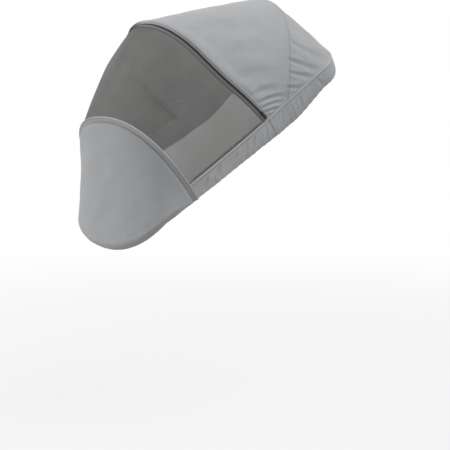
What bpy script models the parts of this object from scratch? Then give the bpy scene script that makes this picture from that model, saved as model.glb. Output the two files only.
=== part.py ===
"""Insect net and sun cover for a child seat: a sewn cover with a zipped net window.

The cover is drawn lying along the seat it is pulled over. In that seat frame s runs from the foot
end to the head end, y to the right and n out of the seat, and n = 0 is the plane of the piping on
top of the side bands. One empty leans the whole cover back to the recline at which it is worn.
Lengths are metres.
"""

import math

import bmesh
import bpy
import numpy as np

# How the cover is worn
RECLINE = math.radians(35.3)
ORIGIN_S = -0.055
ORIGIN_N = -0.045

# Cloth, net and clearances
FABRIC = 0.0012
NET = 0.0008
TAPE = 0.0008
GAP = 0.0003
SEAM_GAP = 0.0004

# Piping between the bands and the panels above them
PIPING_R = 0.0015
PIPING_PROUD = 0.0003

# Rim of the foot cover, an upright arch across the seat, and the elastic hem sewn along it
RIM_S = -0.298
RIM_HALF = 0.2360
RIM_HEIGHT = 0.2230
RIM_POWER = 2.32
RIM_SLOPE = math.radians(50.0)
BINDING_WIDTH = 0.0140
BINDING_THICK = 0.0080
BINDING_TAPER = 0.45
BINDING_WALL = 0.0012
RIM_ELASTIC_R = 0.0020
RIM_ELASTIC_IN = 0.0050
RIM_NET_GAP = 0.0011

# Foot cover: level curves from one side of the rim round the front to the other
TOE_S = -0.5027
TOE_N = -0.0674
FRONT_SAG = 0.066
LEVEL_SPACING = 1.18
HEM_LEVEL_POWER = 2.40
MIDDLE_LEVEL_POWER = 2.16
TOP_LEVEL_POWER = 2.04
HEM_LEVEL_LEG = 0.27
HEM_DIP = 1.62
TOP_LEVEL = 0.90
TURN_LEVEL = 0.10
TURN_UNDER = 0.010
TURN_UNDER_FULL = 0.20

# Zip: an arch of one wide arc on each side and a tighter crown arc
ZIP_S = 0.003
ZIP_HALF = 0.228
ZIP_SIDE_R = 0.364
ZIP_WIDEST = 0.062
ZIP_HEIGHT = 0.353
ZIP_LEAN = math.radians(16.5)
ZIP_RUN = 0.128
ZIP_BEND = 0.120
ZIP_TAPE_WIDTH = 0.0120
COIL_SLOT = 0.0013
COIL_WIDTH = 0.0016
COIL_ABOVE = 0.0006
COIL_START = 0.0090
STOP_LENGTH = 0.0045
NET_BINDING_START = 0.0046

# Net window
NET_MID_S = -0.143
NET_MID_BASE_S = -0.150
NET_MID_HALF = 0.2315
NET_MID_N = 0.303
NET_POWER = 2.90

# Hood
BOW_S = 0.104
BOW_HALF = 0.220
BOW_TOP_S = 0.300
BOW_TOP_N = 0.206
BOW_POWER = 2.25
FRONT_BULGE = 0.004
REAR_BULGE = 0.010
BULGE_FULL = 0.18
SEAM_TAPE_WIDTH = 0.0160

# Head end, where the band turns round behind the hood
TURN_S = 0.238
TURN_HALF = 0.219
HEAD_S = 0.381
HEAD_N = -0.009
HEAD_POWER = 1.85

# Side bands and the hem below them
FOOT_RISE = 0.0137
LEVEL_FROM_S = -0.030
BAND_DEPTH_FOOT = 0.042
BAND_DEPTH_DEEPEST = 0.062
BAND_DEPTH_CURVE = 1.3
BAND_DEEPEST_S = 0.085
BAND_DEPTH_HEAD = 0.048
HEM_TUCK = 0.010
HEM_TUCK_FROM_S = -0.289
HEM_TUCK_FULL_S = -0.012
BASE_TAPE_WIDTH = 0.0120

# Channel round the hem and its elastic
CHANNEL_WALL = 0.0007
CHANNEL_HEIGHT = 0.0090
HEM_ELASTIC_R = 0.0015

# Zip slider and its pull
SLIDER_REST = 0.0280
SLIDER_LENGTH = 0.0100
SLIDER_HALF_NOSE = 0.0037
SLIDER_HALF_TAIL = 0.0031
SLIDER_PLATE = 0.0009
SLIDER_LIP = 0.0007
SLIDER_CLEAR = 0.0004
POST_HALF = 0.0003
POST_LENGTH = 0.0040
BRIDGE_HALF = 0.0008
BRIDGE_SPAN = 0.0068
BRIDGE_WALL = 0.0008
PULL_BAR_R = 0.0006
PULL_CLEAR = 0.00035
PULL_ARM = 0.0013
PULL_LENGTH = 0.0180
PULL_HALF_END = 0.0027
PULL_THICK = 0.0010
PULL_CORNER = 0.0010
PULL_HANG = math.radians(5.0)
PLATE_CORNER = 0.0008
MERGE = 0.0001

# Facets
COLUMNS = 44
NET_ROWS = 5
HOOD_ROWS = 3
REAR_ROWS = 3
BOOT_ROWS = 7
DENSE = 400
CORD_SIDES = 6
ELASTIC_SIDES = 5
COIL_SIDES = 6
BINDING_SIDES = 8
MOST_SQUARED = 0.35
HEM_STRAIGHT = 0.00015
HEM_LONGEST = 0.030

# Values that follow from the ones above
BASE_GAP = PIPING_R + SEAM_GAP
TAPE_TOP = FABRIC + GAP
TAPE_BOTTOM = TAPE_TOP + TAPE
COIL_OUTER = COIL_SLOT / 2 + COIL_WIDTH
PANEL_EDGE = COIL_OUTER + SEAM_GAP
TAPE_EDGE = COIL_SLOT / 2 + ZIP_TAPE_WIDTH
STRIP_EDGE = TAPE_EDGE + GAP
NET_EDGE_S = RIM_S + RIM_NET_GAP
BOOT_EDGE = BINDING_WIDTH + SEAM_GAP
HEM_FOOT_N = FOOT_RISE - BAND_DEPTH_FOOT
CHANNEL_OUT = BINDING_THICK / 2 + SEAM_GAP
CHANNEL_WIDTH = 2 * (HEM_ELASTIC_R + GAP + CHANNEL_WALL)
ZIP_SIDE_Y = ZIP_HALF - ZIP_SIDE_R

COLOURS = {
    "fabric": ((0.33, 0.335, 0.34), 0.80, 0.0),
    "net": ((0.10, 0.10, 0.10), 0.75, 0.0),
    "binding": ((0.35, 0.355, 0.36), 0.75, 0.0),
    "piping": ((0.45, 0.455, 0.46), 0.70, 0.0),
    "tape": ((0.03, 0.03, 0.03), 0.80, 0.0),
    "coil": ((0.02, 0.02, 0.02), 0.45, 0.0),
    "elastic": ((0.55, 0.55, 0.55), 0.85, 0.0),
    "slider": ((0.03, 0.03, 0.03), 0.35, 0.8),
}


def unit(vectors):
    """Vectors scaled to length one along the last axis."""
    vectors = np.asarray(vectors, float)
    return vectors / np.linalg.norm(vectors, axis=-1, keepdims=True)


def smooth_step(value, start, end):
    """Zero before start, one after end, with a smooth change between."""
    f = np.clip((value - start) / (end - start), 0.0, 1.0)
    return f * f * (3 - 2 * f)


def resample(points, count):
    """Points at equal distances along a polyline, count intervals in all."""
    points = np.asarray(points, float)
    steps = np.linalg.norm(np.diff(points, axis=0), axis=1)
    along = np.concatenate([[0.0], np.cumsum(steps)])
    wanted = np.linspace(0.0, along[-1], count + 1)
    return np.stack([np.interp(wanted, along, points[:, k]) for k in range(3)], axis=1)


def arch(base_s, base_n, half, top_s, top_n, power, leg=0.0):
    """A bow from left to right whose legs stand on the base line and whose crown is rounded.

    leg is the share of the rise that runs straight up before the rounding starts.
    """
    angle = np.linspace(0.0, math.pi, DENSE)
    across = -np.sign(np.cos(angle)) * np.abs(np.cos(angle)) ** (2 / power)
    rise = leg + (1 - leg) * np.sin(angle) ** (2 / power)
    across = np.concatenate([[-1.0], across, [1.0]])
    rise = np.concatenate([[0.0], rise, [0.0]])
    points = [base_s + (top_s - base_s) * rise, half * across, base_n + (top_n - base_n) * rise]
    return resample(np.stack(points, axis=1), COLUMNS)


# The zip's arch, drawn flat as y across and u up, then leaned and bent upright

CROWN_ANGLE = math.pi / 2 - 2 * math.atan((ZIP_SIDE_R + ZIP_WIDEST - ZIP_HEIGHT) / -ZIP_SIDE_Y)
CROWN_R = ZIP_SIDE_R + ZIP_SIDE_Y / math.cos(CROWN_ANGLE)
CROWN_U = ZIP_WIDEST - ZIP_SIDE_Y * math.tan(CROWN_ANGLE)
FOOT_ANGLE = math.asin(-ZIP_WIDEST / ZIP_SIDE_R)
SIDE_LENGTH = ZIP_SIDE_R * (CROWN_ANGLE - FOOT_ANGLE)
ZIP_LENGTH = 2 * SIDE_LENGTH + 2 * CROWN_R * (math.pi / 2 - CROWN_ANGLE)


def lean(u):
    """Place of height u up the leaned arch: s, n and the local lean."""
    bend_r = ZIP_BEND / ZIP_LEAN
    run = min(u, ZIP_RUN)
    turn = ZIP_LEAN * min(max(u - ZIP_RUN, 0.0), ZIP_BEND) / ZIP_BEND
    left = ZIP_LEAN - turn
    upright = max(u - ZIP_RUN - ZIP_BEND, 0.0)
    s = ZIP_S - run * math.sin(ZIP_LEAN) - bend_r * (math.cos(left) - math.cos(ZIP_LEAN))
    n = run * math.cos(ZIP_LEAN) + bend_r * (math.sin(ZIP_LEAN) - math.sin(left)) + upright
    return s, n, left


def zip_point(along, aside=0.0):
    """A point of the zip at a distance along it from the left foot, aside towards the head end."""
    mirrored = along > ZIP_LENGTH / 2
    distance = ZIP_LENGTH - along if mirrored else along
    if distance <= SIDE_LENGTH:
        angle = FOOT_ANGLE + distance / ZIP_SIDE_R
        y = -ZIP_SIDE_Y - ZIP_SIDE_R * math.cos(angle)
        u = ZIP_WIDEST + ZIP_SIDE_R * math.sin(angle)
    else:
        angle = CROWN_ANGLE + (distance - SIDE_LENGTH) / CROWN_R
        y = -CROWN_R * math.cos(angle)
        u = CROWN_U + CROWN_R * math.sin(angle)
    s, n, left = lean(u)
    side = -1.0 if mirrored else 1.0
    beside = np.array([math.cos(left), 0.0, math.sin(left)])
    up = np.array([-math.sin(left), 0.0, math.cos(left)])
    outward = np.array([0.0, -side * math.cos(angle), 0.0]) + up * math.sin(angle)
    return np.array([s, side * y, n]) + beside * aside, beside, outward


def foot_distance(aside):
    """Distance along the zip at which a line set aside from it meets the top of the piping."""
    u = (BASE_GAP - aside * math.sin(ZIP_LEAN)) / math.cos(ZIP_LEAN)
    return ZIP_SIDE_R * (math.asin((u - ZIP_WIDEST) / ZIP_SIDE_R) - FOOT_ANGLE)


def zip_stations(first):
    """Distances along the zip, the same for every line beside it but for the two ends."""
    stations = np.linspace(0.0, ZIP_LENGTH, COLUMNS + 1)
    stations[0] = first
    stations[-1] = ZIP_LENGTH - first
    return stations


def zip_row(aside):
    """A row of the cover's surface that runs beside the zip."""
    return np.array([zip_point(d, aside)[0] for d in zip_stations(foot_distance(aside))])


# Rows of the cover's outer surface, from the foot end to the head end

def between(first, last, fractions, bulge):
    """Rows between two rows, lifted by a bulge in the middle but straight along the base."""
    across = unit(np.gradient((first + last) / 2, axis=0))
    outward = unit(np.cross(last - first, across))
    columns = np.arange(len(first))
    inset = np.minimum(columns, columns[::-1])
    outward *= smooth_step(inset, 0, BULGE_FULL * columns[-1])[:, None]
    rows = []
    for f in fractions:
        rows.append(first + (last - first) * f + outward * bulge * 4 * f * (1 - f))
    return rows


def curved(first, middle, last, count):
    """Rows on the smooth surface through three rows, without the first and the last."""
    rows = []
    for f in np.linspace(0.0, 1.0, count + 1)[1:-1]:
        rows.append(first * (1 - f) * (1 - 2 * f) + middle * 4 * f * (1 - f) + last * f * (2 * f - 1))
    return rows


def shifted(row, along):
    """A row moved along the seat."""
    return row + np.array([along, 0.0, 0.0])


def at_columns(row, places):
    """Values of a row at places counted in columns."""
    k = np.minimum(np.floor(places).astype(int), len(row) - 2)
    return row[k] + (row[k + 1] - row[k]) * (places - k)[:, None]


def near_row(row, towards, distance):
    """Points at a distance from a row on the way to another."""
    return row + unit(towards - row) * distance


def base_n(s):
    """Height of the net's lower edge, which climbs a little towards the rim."""
    return BASE_GAP + FOOT_RISE * max(LEVEL_FROM_S - s, 0.0) / (LEVEL_FROM_S - RIM_S)


def net_rows():
    rim = shifted(rim_arch(), RIM_NET_GAP)
    half = COLUMNS // 2
    foot = np.interp(base_n(NET_EDGE_S), rim[:half, 2], np.arange(half))
    start = at_columns(rim, np.linspace(foot, COLUMNS - foot, COLUMNS + 1))
    low = base_n(NET_MID_BASE_S)
    middle = arch(NET_MID_BASE_S, low, NET_MID_HALF, NET_MID_S, NET_MID_N, NET_POWER)
    end = zip_row(-STRIP_EDGE)
    return [start] + curved(start, middle, end, NET_ROWS) + [end, zip_row(-PANEL_EDGE)]


def hood_rows():
    """Rows before the arched seam, the seam itself and the rows behind it."""
    seam = arch(BOW_S, BASE_GAP, BOW_HALF, BOW_TOP_S, BOW_TOP_N, BOW_POWER)
    head = arch(TURN_S, BASE_GAP, TURN_HALF, HEAD_S, HEAD_N + BASE_GAP, HEAD_POWER)
    start = zip_row(STRIP_EDGE)
    half_tape = SEAM_TAPE_WIDTH / 2
    front = [zip_row(PANEL_EDGE), start]
    front += between(start, seam, np.linspace(0.0, 1.0, HOOD_ROWS + 1)[1:-1], FRONT_BULGE)
    front.append(near_row(seam, front[-1], half_tape))
    rear = between(seam, head, np.linspace(0.0, 1.0, REAR_ROWS + 1)[1:-1], REAR_BULGE)
    rear.insert(0, near_row(seam, rear[0], half_tape))
    return front, seam, rear + [head]


def rim_arch():
    """The rim's arch from the hem on the left over the crown to the hem on the right."""
    leg = HEM_FOOT_N / (HEM_FOOT_N - RIM_HEIGHT)
    return arch(RIM_S, HEM_FOOT_N, RIM_HALF, RIM_S, RIM_HEIGHT, RIM_POWER, leg)


def rim_frames():
    """Points of the rim, with the directions away from its seam and out of the foot cover.

    The hem along the rim lies in the slope of the foot cover, which is steepest at the crown.
    """
    path = rim_arch()
    seat = np.array([1.0, 0.0, 0.0])
    out = unit(np.cross(seat, np.gradient(path, axis=0)))
    slope = RIM_SLOPE * out[:, 2:]
    return path, seat * np.cos(slope) + out * np.sin(slope), out * np.cos(slope) - seat * np.sin(slope)


def turned_under(row):
    """The hem of the foot cover, drawn in under its front but not beside the rim."""
    columns = np.arange(len(row))
    inset = np.minimum(columns, columns[::-1])
    share = smooth_step(inset, 0, TURN_UNDER_FULL * columns[-1])[:, None]
    return row - facing(row, np.mean(row, axis=0)) * TURN_UNDER * share


def boot_rows():
    """Level rows of the foot cover, from the hem up to the crown of the rim.

    The second value holds the outward directions at both ends of each row and along the last.
    """
    path, beside, outward = rim_frames()
    rim = path - beside * BOOT_EDGE
    half = COLUMNS // 2
    crown = rim[half]
    levels = np.concatenate([[0.0], np.linspace(TURN_LEVEL, TOP_LEVEL, BOOT_ROWS - 1)])
    starts = at_columns(rim, levels * half)
    rows = []
    for level, start in zip(levels, starts):
        climb = level ** LEVEL_SPACING
        sag = FRONT_SAG * 4 * climb * (1 - climb)
        top_s = TOE_S + (crown[0] - TOE_S) * climb + sag
        top_n = TOE_N + (crown[2] - TOE_N) * climb - sag
        power = HEM_LEVEL_POWER * (1 - level) * (1 - 2 * level)
        power += MIDDLE_LEVEL_POWER * 4 * level * (1 - level)
        power += TOP_LEVEL_POWER * level * (2 * level - 1)
        row = arch(start[0], start[2], -start[1], top_s, top_n, power, HEM_LEVEL_LEG * (1 - level))
        run = (row[:, 0] - start[0]) / (top_s - start[0])
        row[:, 2] -= (top_n - start[2]) * HEM_DIP * (1 - level) ** 3 * run * (1 - run)
        rows.append(row)
    rows[0] = turned_under(rows[0])
    first = math.ceil(TOP_LEVEL * half)
    places = np.linspace(first, COLUMNS - first, COLUMNS + 1)
    rows.append(at_columns(rim, places))
    sides = at_columns(outward, levels * half)
    border = np.concatenate([sides, at_columns(outward, places), sides[::-1] * np.array([1, -1, 1])])
    return rows, border


def row_normals(rows):
    """Outward vectors at the points of a grid of rows, shared and lengthened at creases.

    A layer at a depth below the surface lies at that depth on both sides of a crease.
    """
    grid = np.array(rows)
    steps = unit(np.diff(grid, axis=0))
    along = np.concatenate([steps[:1], (steps[:-1] + steps[1:]) / 2, steps[-1:]])
    share = np.linalg.norm(along, axis=-1, keepdims=True)
    across = np.gradient(grid, axis=1)
    return unit(np.cross(along, across)) / share


def squared(normals, plane):
    """Normals of a row that butts against another piece, turned into the row's own plane."""
    flat = unit(normals * np.array(plane))
    return flat / np.sum(flat * unit(normals), axis=1, keepdims=True)


def rim_squared(normals, border):
    """Normals of the foot cover with those along the rim's seam taken from the rim."""
    top = len(normals) - 1
    edge = [(k, 0) for k in range(top)]
    edge += [(top, j) for j in range(COLUMNS + 1)]
    edge += [(k, COLUMNS) for k in reversed(range(top))]
    edge = tuple(np.array(edge).T)
    share = np.sum(border * unit(normals[edge]), axis=1, keepdims=True)
    normals[edge] = border / np.maximum(share, MOST_SQUARED)
    return normals


# Solids

def new_material(name):
    colour, roughness, metallic = COLOURS[name]
    material = bpy.data.materials.new(name)
    material.use_nodes = True
    shader = material.node_tree.nodes["Principled BSDF"]
    shader.inputs["Base Color"].default_value = (*colour, 1.0)
    shader.inputs["Roughness"].default_value = roughness
    shader.inputs["Metallic"].default_value = metallic
    return material


def add_object(name, verts, faces, material, pivot=(0.0, 0.0, 0.0), parent=None):
    """An object made from faces that close one body, turned outward and shaded smooth."""
    mesh = bpy.data.meshes.new(name)
    pivot = np.array(pivot, float)
    mesh.from_pydata([tuple(np.array(v) - pivot) for v in verts], [], faces)
    cleaner = bmesh.new()
    cleaner.from_mesh(mesh)
    bmesh.ops.recalc_face_normals(cleaner, faces=cleaner.faces)
    cleaner.to_mesh(mesh)
    cleaner.free()
    mesh.shade_smooth()
    mesh.set_sharp_from_angle(angle=math.radians(40))
    mesh.materials.append(MATERIALS[material])
    obj = bpy.data.objects.new(name, mesh)
    bpy.context.collection.objects.link(obj)
    obj.parent = parent or ROOT
    obj.location = pivot if parent is None else pivot - np.array(parent["pivot"])
    obj["pivot"] = list(pivot)
    return obj


def add_sheet(name, grid, normals, outer, inner, material):
    """A cloth of even thickness between two depths below a grid of surface points.

    Its fields are split alike on both sides, so that layers over each other stay parallel.
    """
    grid = np.array(grid)
    normals = np.array(normals)
    rows, columns = grid.shape[:2]
    top = (grid - normals * outer).reshape(-1, 3)
    bottom = (grid - normals * inner).reshape(-1, 3)
    verts = np.concatenate([top, bottom])
    under = rows * columns
    faces = []
    for i in range(rows - 1):
        for j in range(columns - 1):
            a = i * columns + j
            quad = [a, a + columns, a + columns + 1, a + 1]
            if j >= (columns - 1) / 2:
                quad = quad[1:] + quad[:1]
            for half in (quad[:3], [quad[0], quad[2], quad[3]]):
                faces.append(half)
                faces.append([k + under for k in reversed(half)])
    border = [j for j in range(columns)]
    border += [i * columns + columns - 1 for i in range(1, rows)]
    border += [(rows - 1) * columns + j for j in range(columns - 2, -1, -1)]
    border += [i * columns for i in range(rows - 2, 0, -1)]
    for a, b in zip(border, border[1:] + border[:1]):
        faces.append((a, b, b + under, a + under))
    return add_object(name, verts, faces, material)


def add_sweep(name, path, beside, outward, profile, material, closed=False, hole=None):
    """A profile of (beside, outward) pairs carried along a path, with an optional bore."""
    path = np.array(path)
    loops = [profile] if hole is None else [profile, hole]
    rings = []
    for loop in loops:
        for p, b, o in zip(path, beside, outward):
            rings.append([p + b * x + o * z for x, z in loop])
    size = len(profile)
    verts = np.concatenate(rings)
    stations = len(path)
    faces = []
    last = stations if closed else stations - 1
    for part in range(len(loops)):
        first = part * stations * size
        for i in range(last):
            a = first + i * size
            b = first + (i + 1) % stations * size
            for k in range(size):
                m = (k + 1) % size
                faces.append((a + k, a + m, b + m, b + k))
    if not closed and hole is None:
        faces.append(tuple(range(size)))
        faces.append(tuple(reversed(range((stations - 1) * size, stations * size))))
    if not closed and hole is not None:
        for ring in (0, stations - 1):
            a = ring * size
            b = (stations + ring) * size
            for k in range(size):
                m = (k + 1) % size
                faces.append((a + k, a + m, b + m, b + k))
    return add_object(name, verts, faces, material)


def ellipse(half_width, half_height, sides, lift=0.0):
    """Corners of an oval profile."""
    turns = [2 * math.pi * k / sides for k in range(sides)]
    return [(half_width * math.cos(t), lift + half_height * math.sin(t)) for t in turns]


def rectangle(low, high, bottom, top):
    return [(low, bottom), (high, bottom), (high, top), (low, top)]


def facing(path, out_of):
    """Unit vectors that point out of the seat's outline, square to a path and to n."""
    along = unit(np.gradient(np.array(path), axis=0))
    flat = along * np.array([1.0, 1.0, 0.0])
    side = unit(np.cross(unit(flat), np.array([0.0, 0.0, 1.0])))
    away = np.array(path) - np.array(out_of)
    flip = np.sign(np.sum(side * away * np.array([1.0, 1.0, 0.0]), axis=1))
    return side * flip[:, None]


# Bands

def border_path(rows):
    """The lower border of a grid: down its left side, along its last row and back."""
    path = [row[0] for row in rows[:-1]]
    path += list(rows[-1])
    path += [row[-1] for row in reversed(rows[:-1])]
    return np.array(path)


def band_depth(path):
    """Height of the band at each point of its top edge."""
    s = path[:, 0]
    run = np.clip((s - RIM_S) / (BAND_DEEPEST_S - RIM_S), 0.0, 1.0) ** BAND_DEPTH_CURVE
    depth = BAND_DEPTH_FOOT + (BAND_DEPTH_DEEPEST - BAND_DEPTH_FOOT) * run
    fall = smooth_step(s, BAND_DEEPEST_S, TURN_S)
    return depth + (BAND_DEPTH_HEAD - BAND_DEPTH_DEEPEST) * fall


def band_rows(path, outward):
    """Rows of the band's surface from under the piping down to the hem."""
    depth = band_depth(path)
    tuck = HEM_TUCK * smooth_step(path[:, 0], HEM_TUCK_FROM_S, HEM_TUCK_FULL_S)
    rows = []
    for f in (0.0, 0.4, 0.75, 1.0):
        fall = BASE_GAP + (depth - BASE_GAP) * f
        row = path - outward * (tuck * f ** 3)[:, None]
        rows.append(row - np.stack([0 * fall, 0 * fall, fall], axis=1))
    return rows


def cut(rows, start, end):
    """The part of each row from one column to another, where a cut may lie between columns."""
    pieces = []
    for row in rows:
        whole = [row[k] for k in range(math.ceil(start), math.floor(end) + 1)]
        if start % 1:
            k = int(start)
            whole.insert(0, row[k] + (row[k + 1] - row[k]) * (start - k))
        if end % 1:
            k = int(end)
            whole.append(row[k] + (row[k + 1] - row[k]) * (end - k))
        pieces.append(np.array(whole))
    return pieces


def column_at(path, s):
    """Column of a border path, counted from the left foot end, where it passes a place s."""
    for k in range(len(path) - 1):
        if path[k][0] <= s <= path[k + 1][0]:
            return k + (s - path[k][0]) / (path[k + 1][0] - path[k][0])
    raise ValueError("the path does not reach this place")


def lift(path, height):
    return path + np.array([0.0, 0.0, height])


def add_bands(path, outward):
    """Side bands, rear band and the bindings of their two upright seams."""
    rows = band_rows(path, outward)
    normals = row_normals(rows)
    centre = np.mean(path, axis=0)
    away = np.sum(normals[0][0] * (path[0] - centre))
    normals = normals if away > 0 else -normals
    last = len(path) - 1
    seam = column_at(path, ZIP_S + PANEL_EDGE)
    half = column_at(path, ZIP_S + PANEL_EDGE + SEAM_GAP / 2) - seam
    spans = {
        "band_front_left": (0, seam - half),
        "band_rear": (seam + half, last - seam - half),
        "band_front_right": (last - seam + half, last),
    }
    for name, (start, end) in spans.items():
        add_sheet(name, cut(rows, start, end), cut(normals, start, end), 0.0, FABRIC, "fabric")
    reach = BASE_TAPE_WIDTH / 2
    low = column_at(path, ZIP_S + PANEL_EDGE - reach)
    high = column_at(path, ZIP_S + PANEL_EDGE + reach)
    for name, start, end in (
        ("band_seam_tape_left", low, high),
        ("band_seam_tape_right", last - high, last - low),
    ):
        grid = cut(rows[:3], start, end)
        side = cut(normals[:3], start, end)
        add_sheet(name, grid, side, TAPE_TOP, TAPE_BOTTOM, "binding")
    return rows, normals


# Build

def add_panels(net, front, seam, rear, boot, boot_border):
    """The net, the two hood panels, the binding of their seam and the foot cover."""
    normals = row_normals(net + front + [seam] + rear)
    normals[0] = squared(normals[0], (0.0, 1.0, 1.0))
    normals[-1] = squared(normals[-1], (1.0, 1.0, 0.0))
    a = len(net)
    b = a + len(front)
    before = front + [near_row(seam, front[-1], SEAM_GAP / 2)]
    behind = [near_row(seam, rear[0], SEAM_GAP / 2)] + rear
    add_sheet("net_window", net, normals[:a], 0.0, NET, "net")
    share = (STRIP_EDGE - NET_BINDING_START) / (STRIP_EDGE - PANEL_EDGE)
    strip = [net[-2], net[-2] + (net[-1] - net[-2]) * share]
    add_sheet("net_zip_binding", strip, normals[a - 2:a], -GAP - TAPE, -GAP, "binding")
    add_sheet("hood_front_panel", before, normals[a:b + 1], 0.0, FABRIC, "fabric")
    add_sheet("hood_rear_panel", behind, normals[b:], 0.0, FABRIC, "fabric")
    strip = [front[-1], seam, rear[0]]
    add_sheet("hood_seam_tape", strip, normals[b - 1:b + 2], TAPE_TOP, TAPE_BOTTOM, "binding")
    boot_normals = rim_squared(row_normals(boot), boot_border)
    add_sheet("boot_panel", boot, boot_normals, 0.0, FABRIC, "fabric")
    return normals, boot_normals


def add_net_base_tapes(net, normals):
    """Bindings on the inside of the net's two lower edges."""
    rows = net[:-2]
    sides = (("net_base_tape_left", 0, 1), ("net_base_tape_right", -1, -2))
    for name, edge, inner in sides:
        grid = []
        tilt = []
        for row, normal in zip(rows, normals):
            step = row[inner] - row[edge]
            share = BASE_TAPE_WIDTH / np.linalg.norm(step)
            grid.append([row[edge], row[edge] + step * share])
            tilt.append([normal[edge], normal[edge] + (normal[inner] - normal[edge]) * share])
        add_sheet(name, grid, tilt, NET + GAP, NET + GAP + TAPE, "binding")


def add_zip():
    """Tapes, coils and end stops along the whole arch."""
    tape = [zip_point(d) for d in zip_stations(foot_distance(0.0))]
    coil = [zip_point(d) for d in zip_stations(COIL_START)]
    inner = COIL_SLOT / 2
    sides = (("hood", 1.0), ("net", -1.0))
    for side, sign in sides:
        beside = [b * sign for _, b, _ in tape]
        outward = [o for _, _, o in tape]
        flat = rectangle(inner, TAPE_EDGE, -TAPE_BOTTOM, -TAPE_TOP)
        ends = trimmed_tape(tape, sign)
        add_sweep("zip_tape_" + side, ends, beside, outward, flat, "tape")
        mid = inner + COIL_WIDTH / 2
        height = COIL_ABOVE + FABRIC
        oval = [(x + mid, z + COIL_ABOVE - height / 2)
                for x, z in ellipse(COIL_WIDTH / 2, height / 2, COIL_SIDES)]
        path = [p for p, _, _ in coil]
        add_sweep("zip_coil_" + side, path, [b * sign for _, b, _ in coil],
                  [o for _, _, o in coil], oval, "coil")
    top = COIL_START - SEAM_GAP
    for name, start, end in (
        ("zip_stop_left", top - STOP_LENGTH, top),
        ("zip_stop_right", ZIP_LENGTH - top, ZIP_LENGTH - top + STOP_LENGTH),
    ):
        ends = [zip_point(d) for d in (start, end)]
        block = rectangle(-COIL_OUTER, COIL_OUTER, -FABRIC, COIL_ABOVE)
        add_sweep(name, *[[row[k] for row in ends] for k in range(3)], block, "slider")


def trimmed_tape(tape, sign):
    """The tape's path, whose ends clear the piping on both edges of the tape."""
    start = max(foot_distance(0.0), foot_distance(sign * TAPE_EDGE))
    path = [p for p, _, _ in tape]
    path[0] = zip_point(start)[0]
    path[-1] = zip_point(ZIP_LENGTH - start)[0]
    return path


def binding_profile(wall):
    """Egg-shaped section of the rim's hem: thick near its free edge, thin at its seam."""
    half_width = BINDING_WIDTH / 2 - wall
    half_thick = BINDING_THICK / 2 - wall
    corners = []
    for x, z in ellipse(half_width, half_thick, BINDING_SIDES):
        corners.append((x - BINDING_WIDTH / 2, z * (1 + BINDING_TAPER * x / half_width)))
    return corners


def add_rim():
    """The rolled hem on the foot cover's rim, and the elastic inside it."""
    path, beside, outward = rim_frames()
    add_sweep("boot_rim_binding", path, beside, outward, binding_profile(0.0), "binding",
              hole=binding_profile(BINDING_WALL))
    core = [(x - RIM_ELASTIC_IN, z) for x, z in ellipse(RIM_ELASTIC_R, RIM_ELASTIC_R, ELASTIC_SIDES)]
    add_sweep("boot_rim_elastic", path, beside, outward, core, "elastic")


def add_hem(band, band_normals, boot, boot_normals):
    """The folded channel round the whole hem and the elastic that lies in it."""
    boot_into = unit(boot[1] - boot[0])
    path = np.concatenate([band[-1], boot[0][::-1]])
    into = np.concatenate([unit(band[-2] - band[-1]), boot_into[::-1]])
    out = np.concatenate([unit(band_normals[-1]), unit(boot_normals[0])[::-1]])
    keep = hem_stations(path)
    path = path[keep]
    out = out[keep]
    into = into[keep]
    into = unit(into - out * np.sum(into * out, axis=1, keepdims=True))
    near = -CHANNEL_OUT
    far = near - CHANNEL_WIDTH
    wall = CHANNEL_WALL
    profile = [(CHANNEL_HEIGHT, near), (0.0, near), (0.0, far), (CHANNEL_HEIGHT, far),
               (CHANNEL_HEIGHT, far + wall), (wall, far + wall), (wall, near - wall),
               (CHANNEL_HEIGHT, near - wall)]
    add_sweep("hem_channel", path, into, out, profile, "binding", closed=True)
    middle = (near + far) / 2
    height = wall + GAP + HEM_ELASTIC_R
    cord = ellipse(HEM_ELASTIC_R, HEM_ELASTIC_R, ELASTIC_SIDES, middle)
    core = [(x + height, z) for x, z in cord]
    add_sweep("hem_elastic", path, into, out, core, "elastic", closed=True)


def hem_stations(path):
    """Points of the hem that a straight run between their neighbours would miss."""
    keep = [0]
    for k in range(1, len(path) - 1):
        chord = path[k + 1] - path[keep[-1]]
        miss = np.cross(unit(chord), path[k] - path[keep[-1]])
        if np.linalg.norm(miss) > HEM_STRAIGHT or np.linalg.norm(chord) > HEM_LONGEST:
            keep.append(k)
    return keep + [len(path) - 1]


def slider_frame():
    """Place and directions of the slider: up the zip, towards the foot end and outward."""
    place, beside, outward = zip_point(SLIDER_REST)
    return place, np.cross(outward, beside), -beside, outward


def zip_axis():
    """Centre of the side arc on which the slider runs, and the direction of its axis."""
    s, n, left = lean(ZIP_WIDEST)
    return np.array([s, -ZIP_SIDE_Y, n]), -np.array([math.cos(left), 0.0, math.sin(left)])


def prism(outline, bottom, top):
    """An upright block on an outline of (up, beside) corners: its points and faces."""
    size = len(outline)
    verts = [(x, y, bottom) for x, y in outline] + [(x, y, top) for x, y in outline]
    faces = [tuple(reversed(range(size))), tuple(range(size, 2 * size))]
    for k in range(size):
        m = (k + 1) % size
        faces.append((k, m, m + size, k + size))
    return verts, faces


def round_bar(radius, half_length):
    """A bar across the zip with eight sides: its points and faces."""
    turns = [math.pi / 4 * k + math.pi / 8 for k in range(8)]
    ring = [(radius * math.cos(t), radius * math.sin(t)) for t in turns]
    _, faces = prism(ring, 0.0, 1.0)
    verts = [(x, -half_length, z) for x, z in ring] + [(x, half_length, z) for x, z in ring]
    return verts, faces


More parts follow.
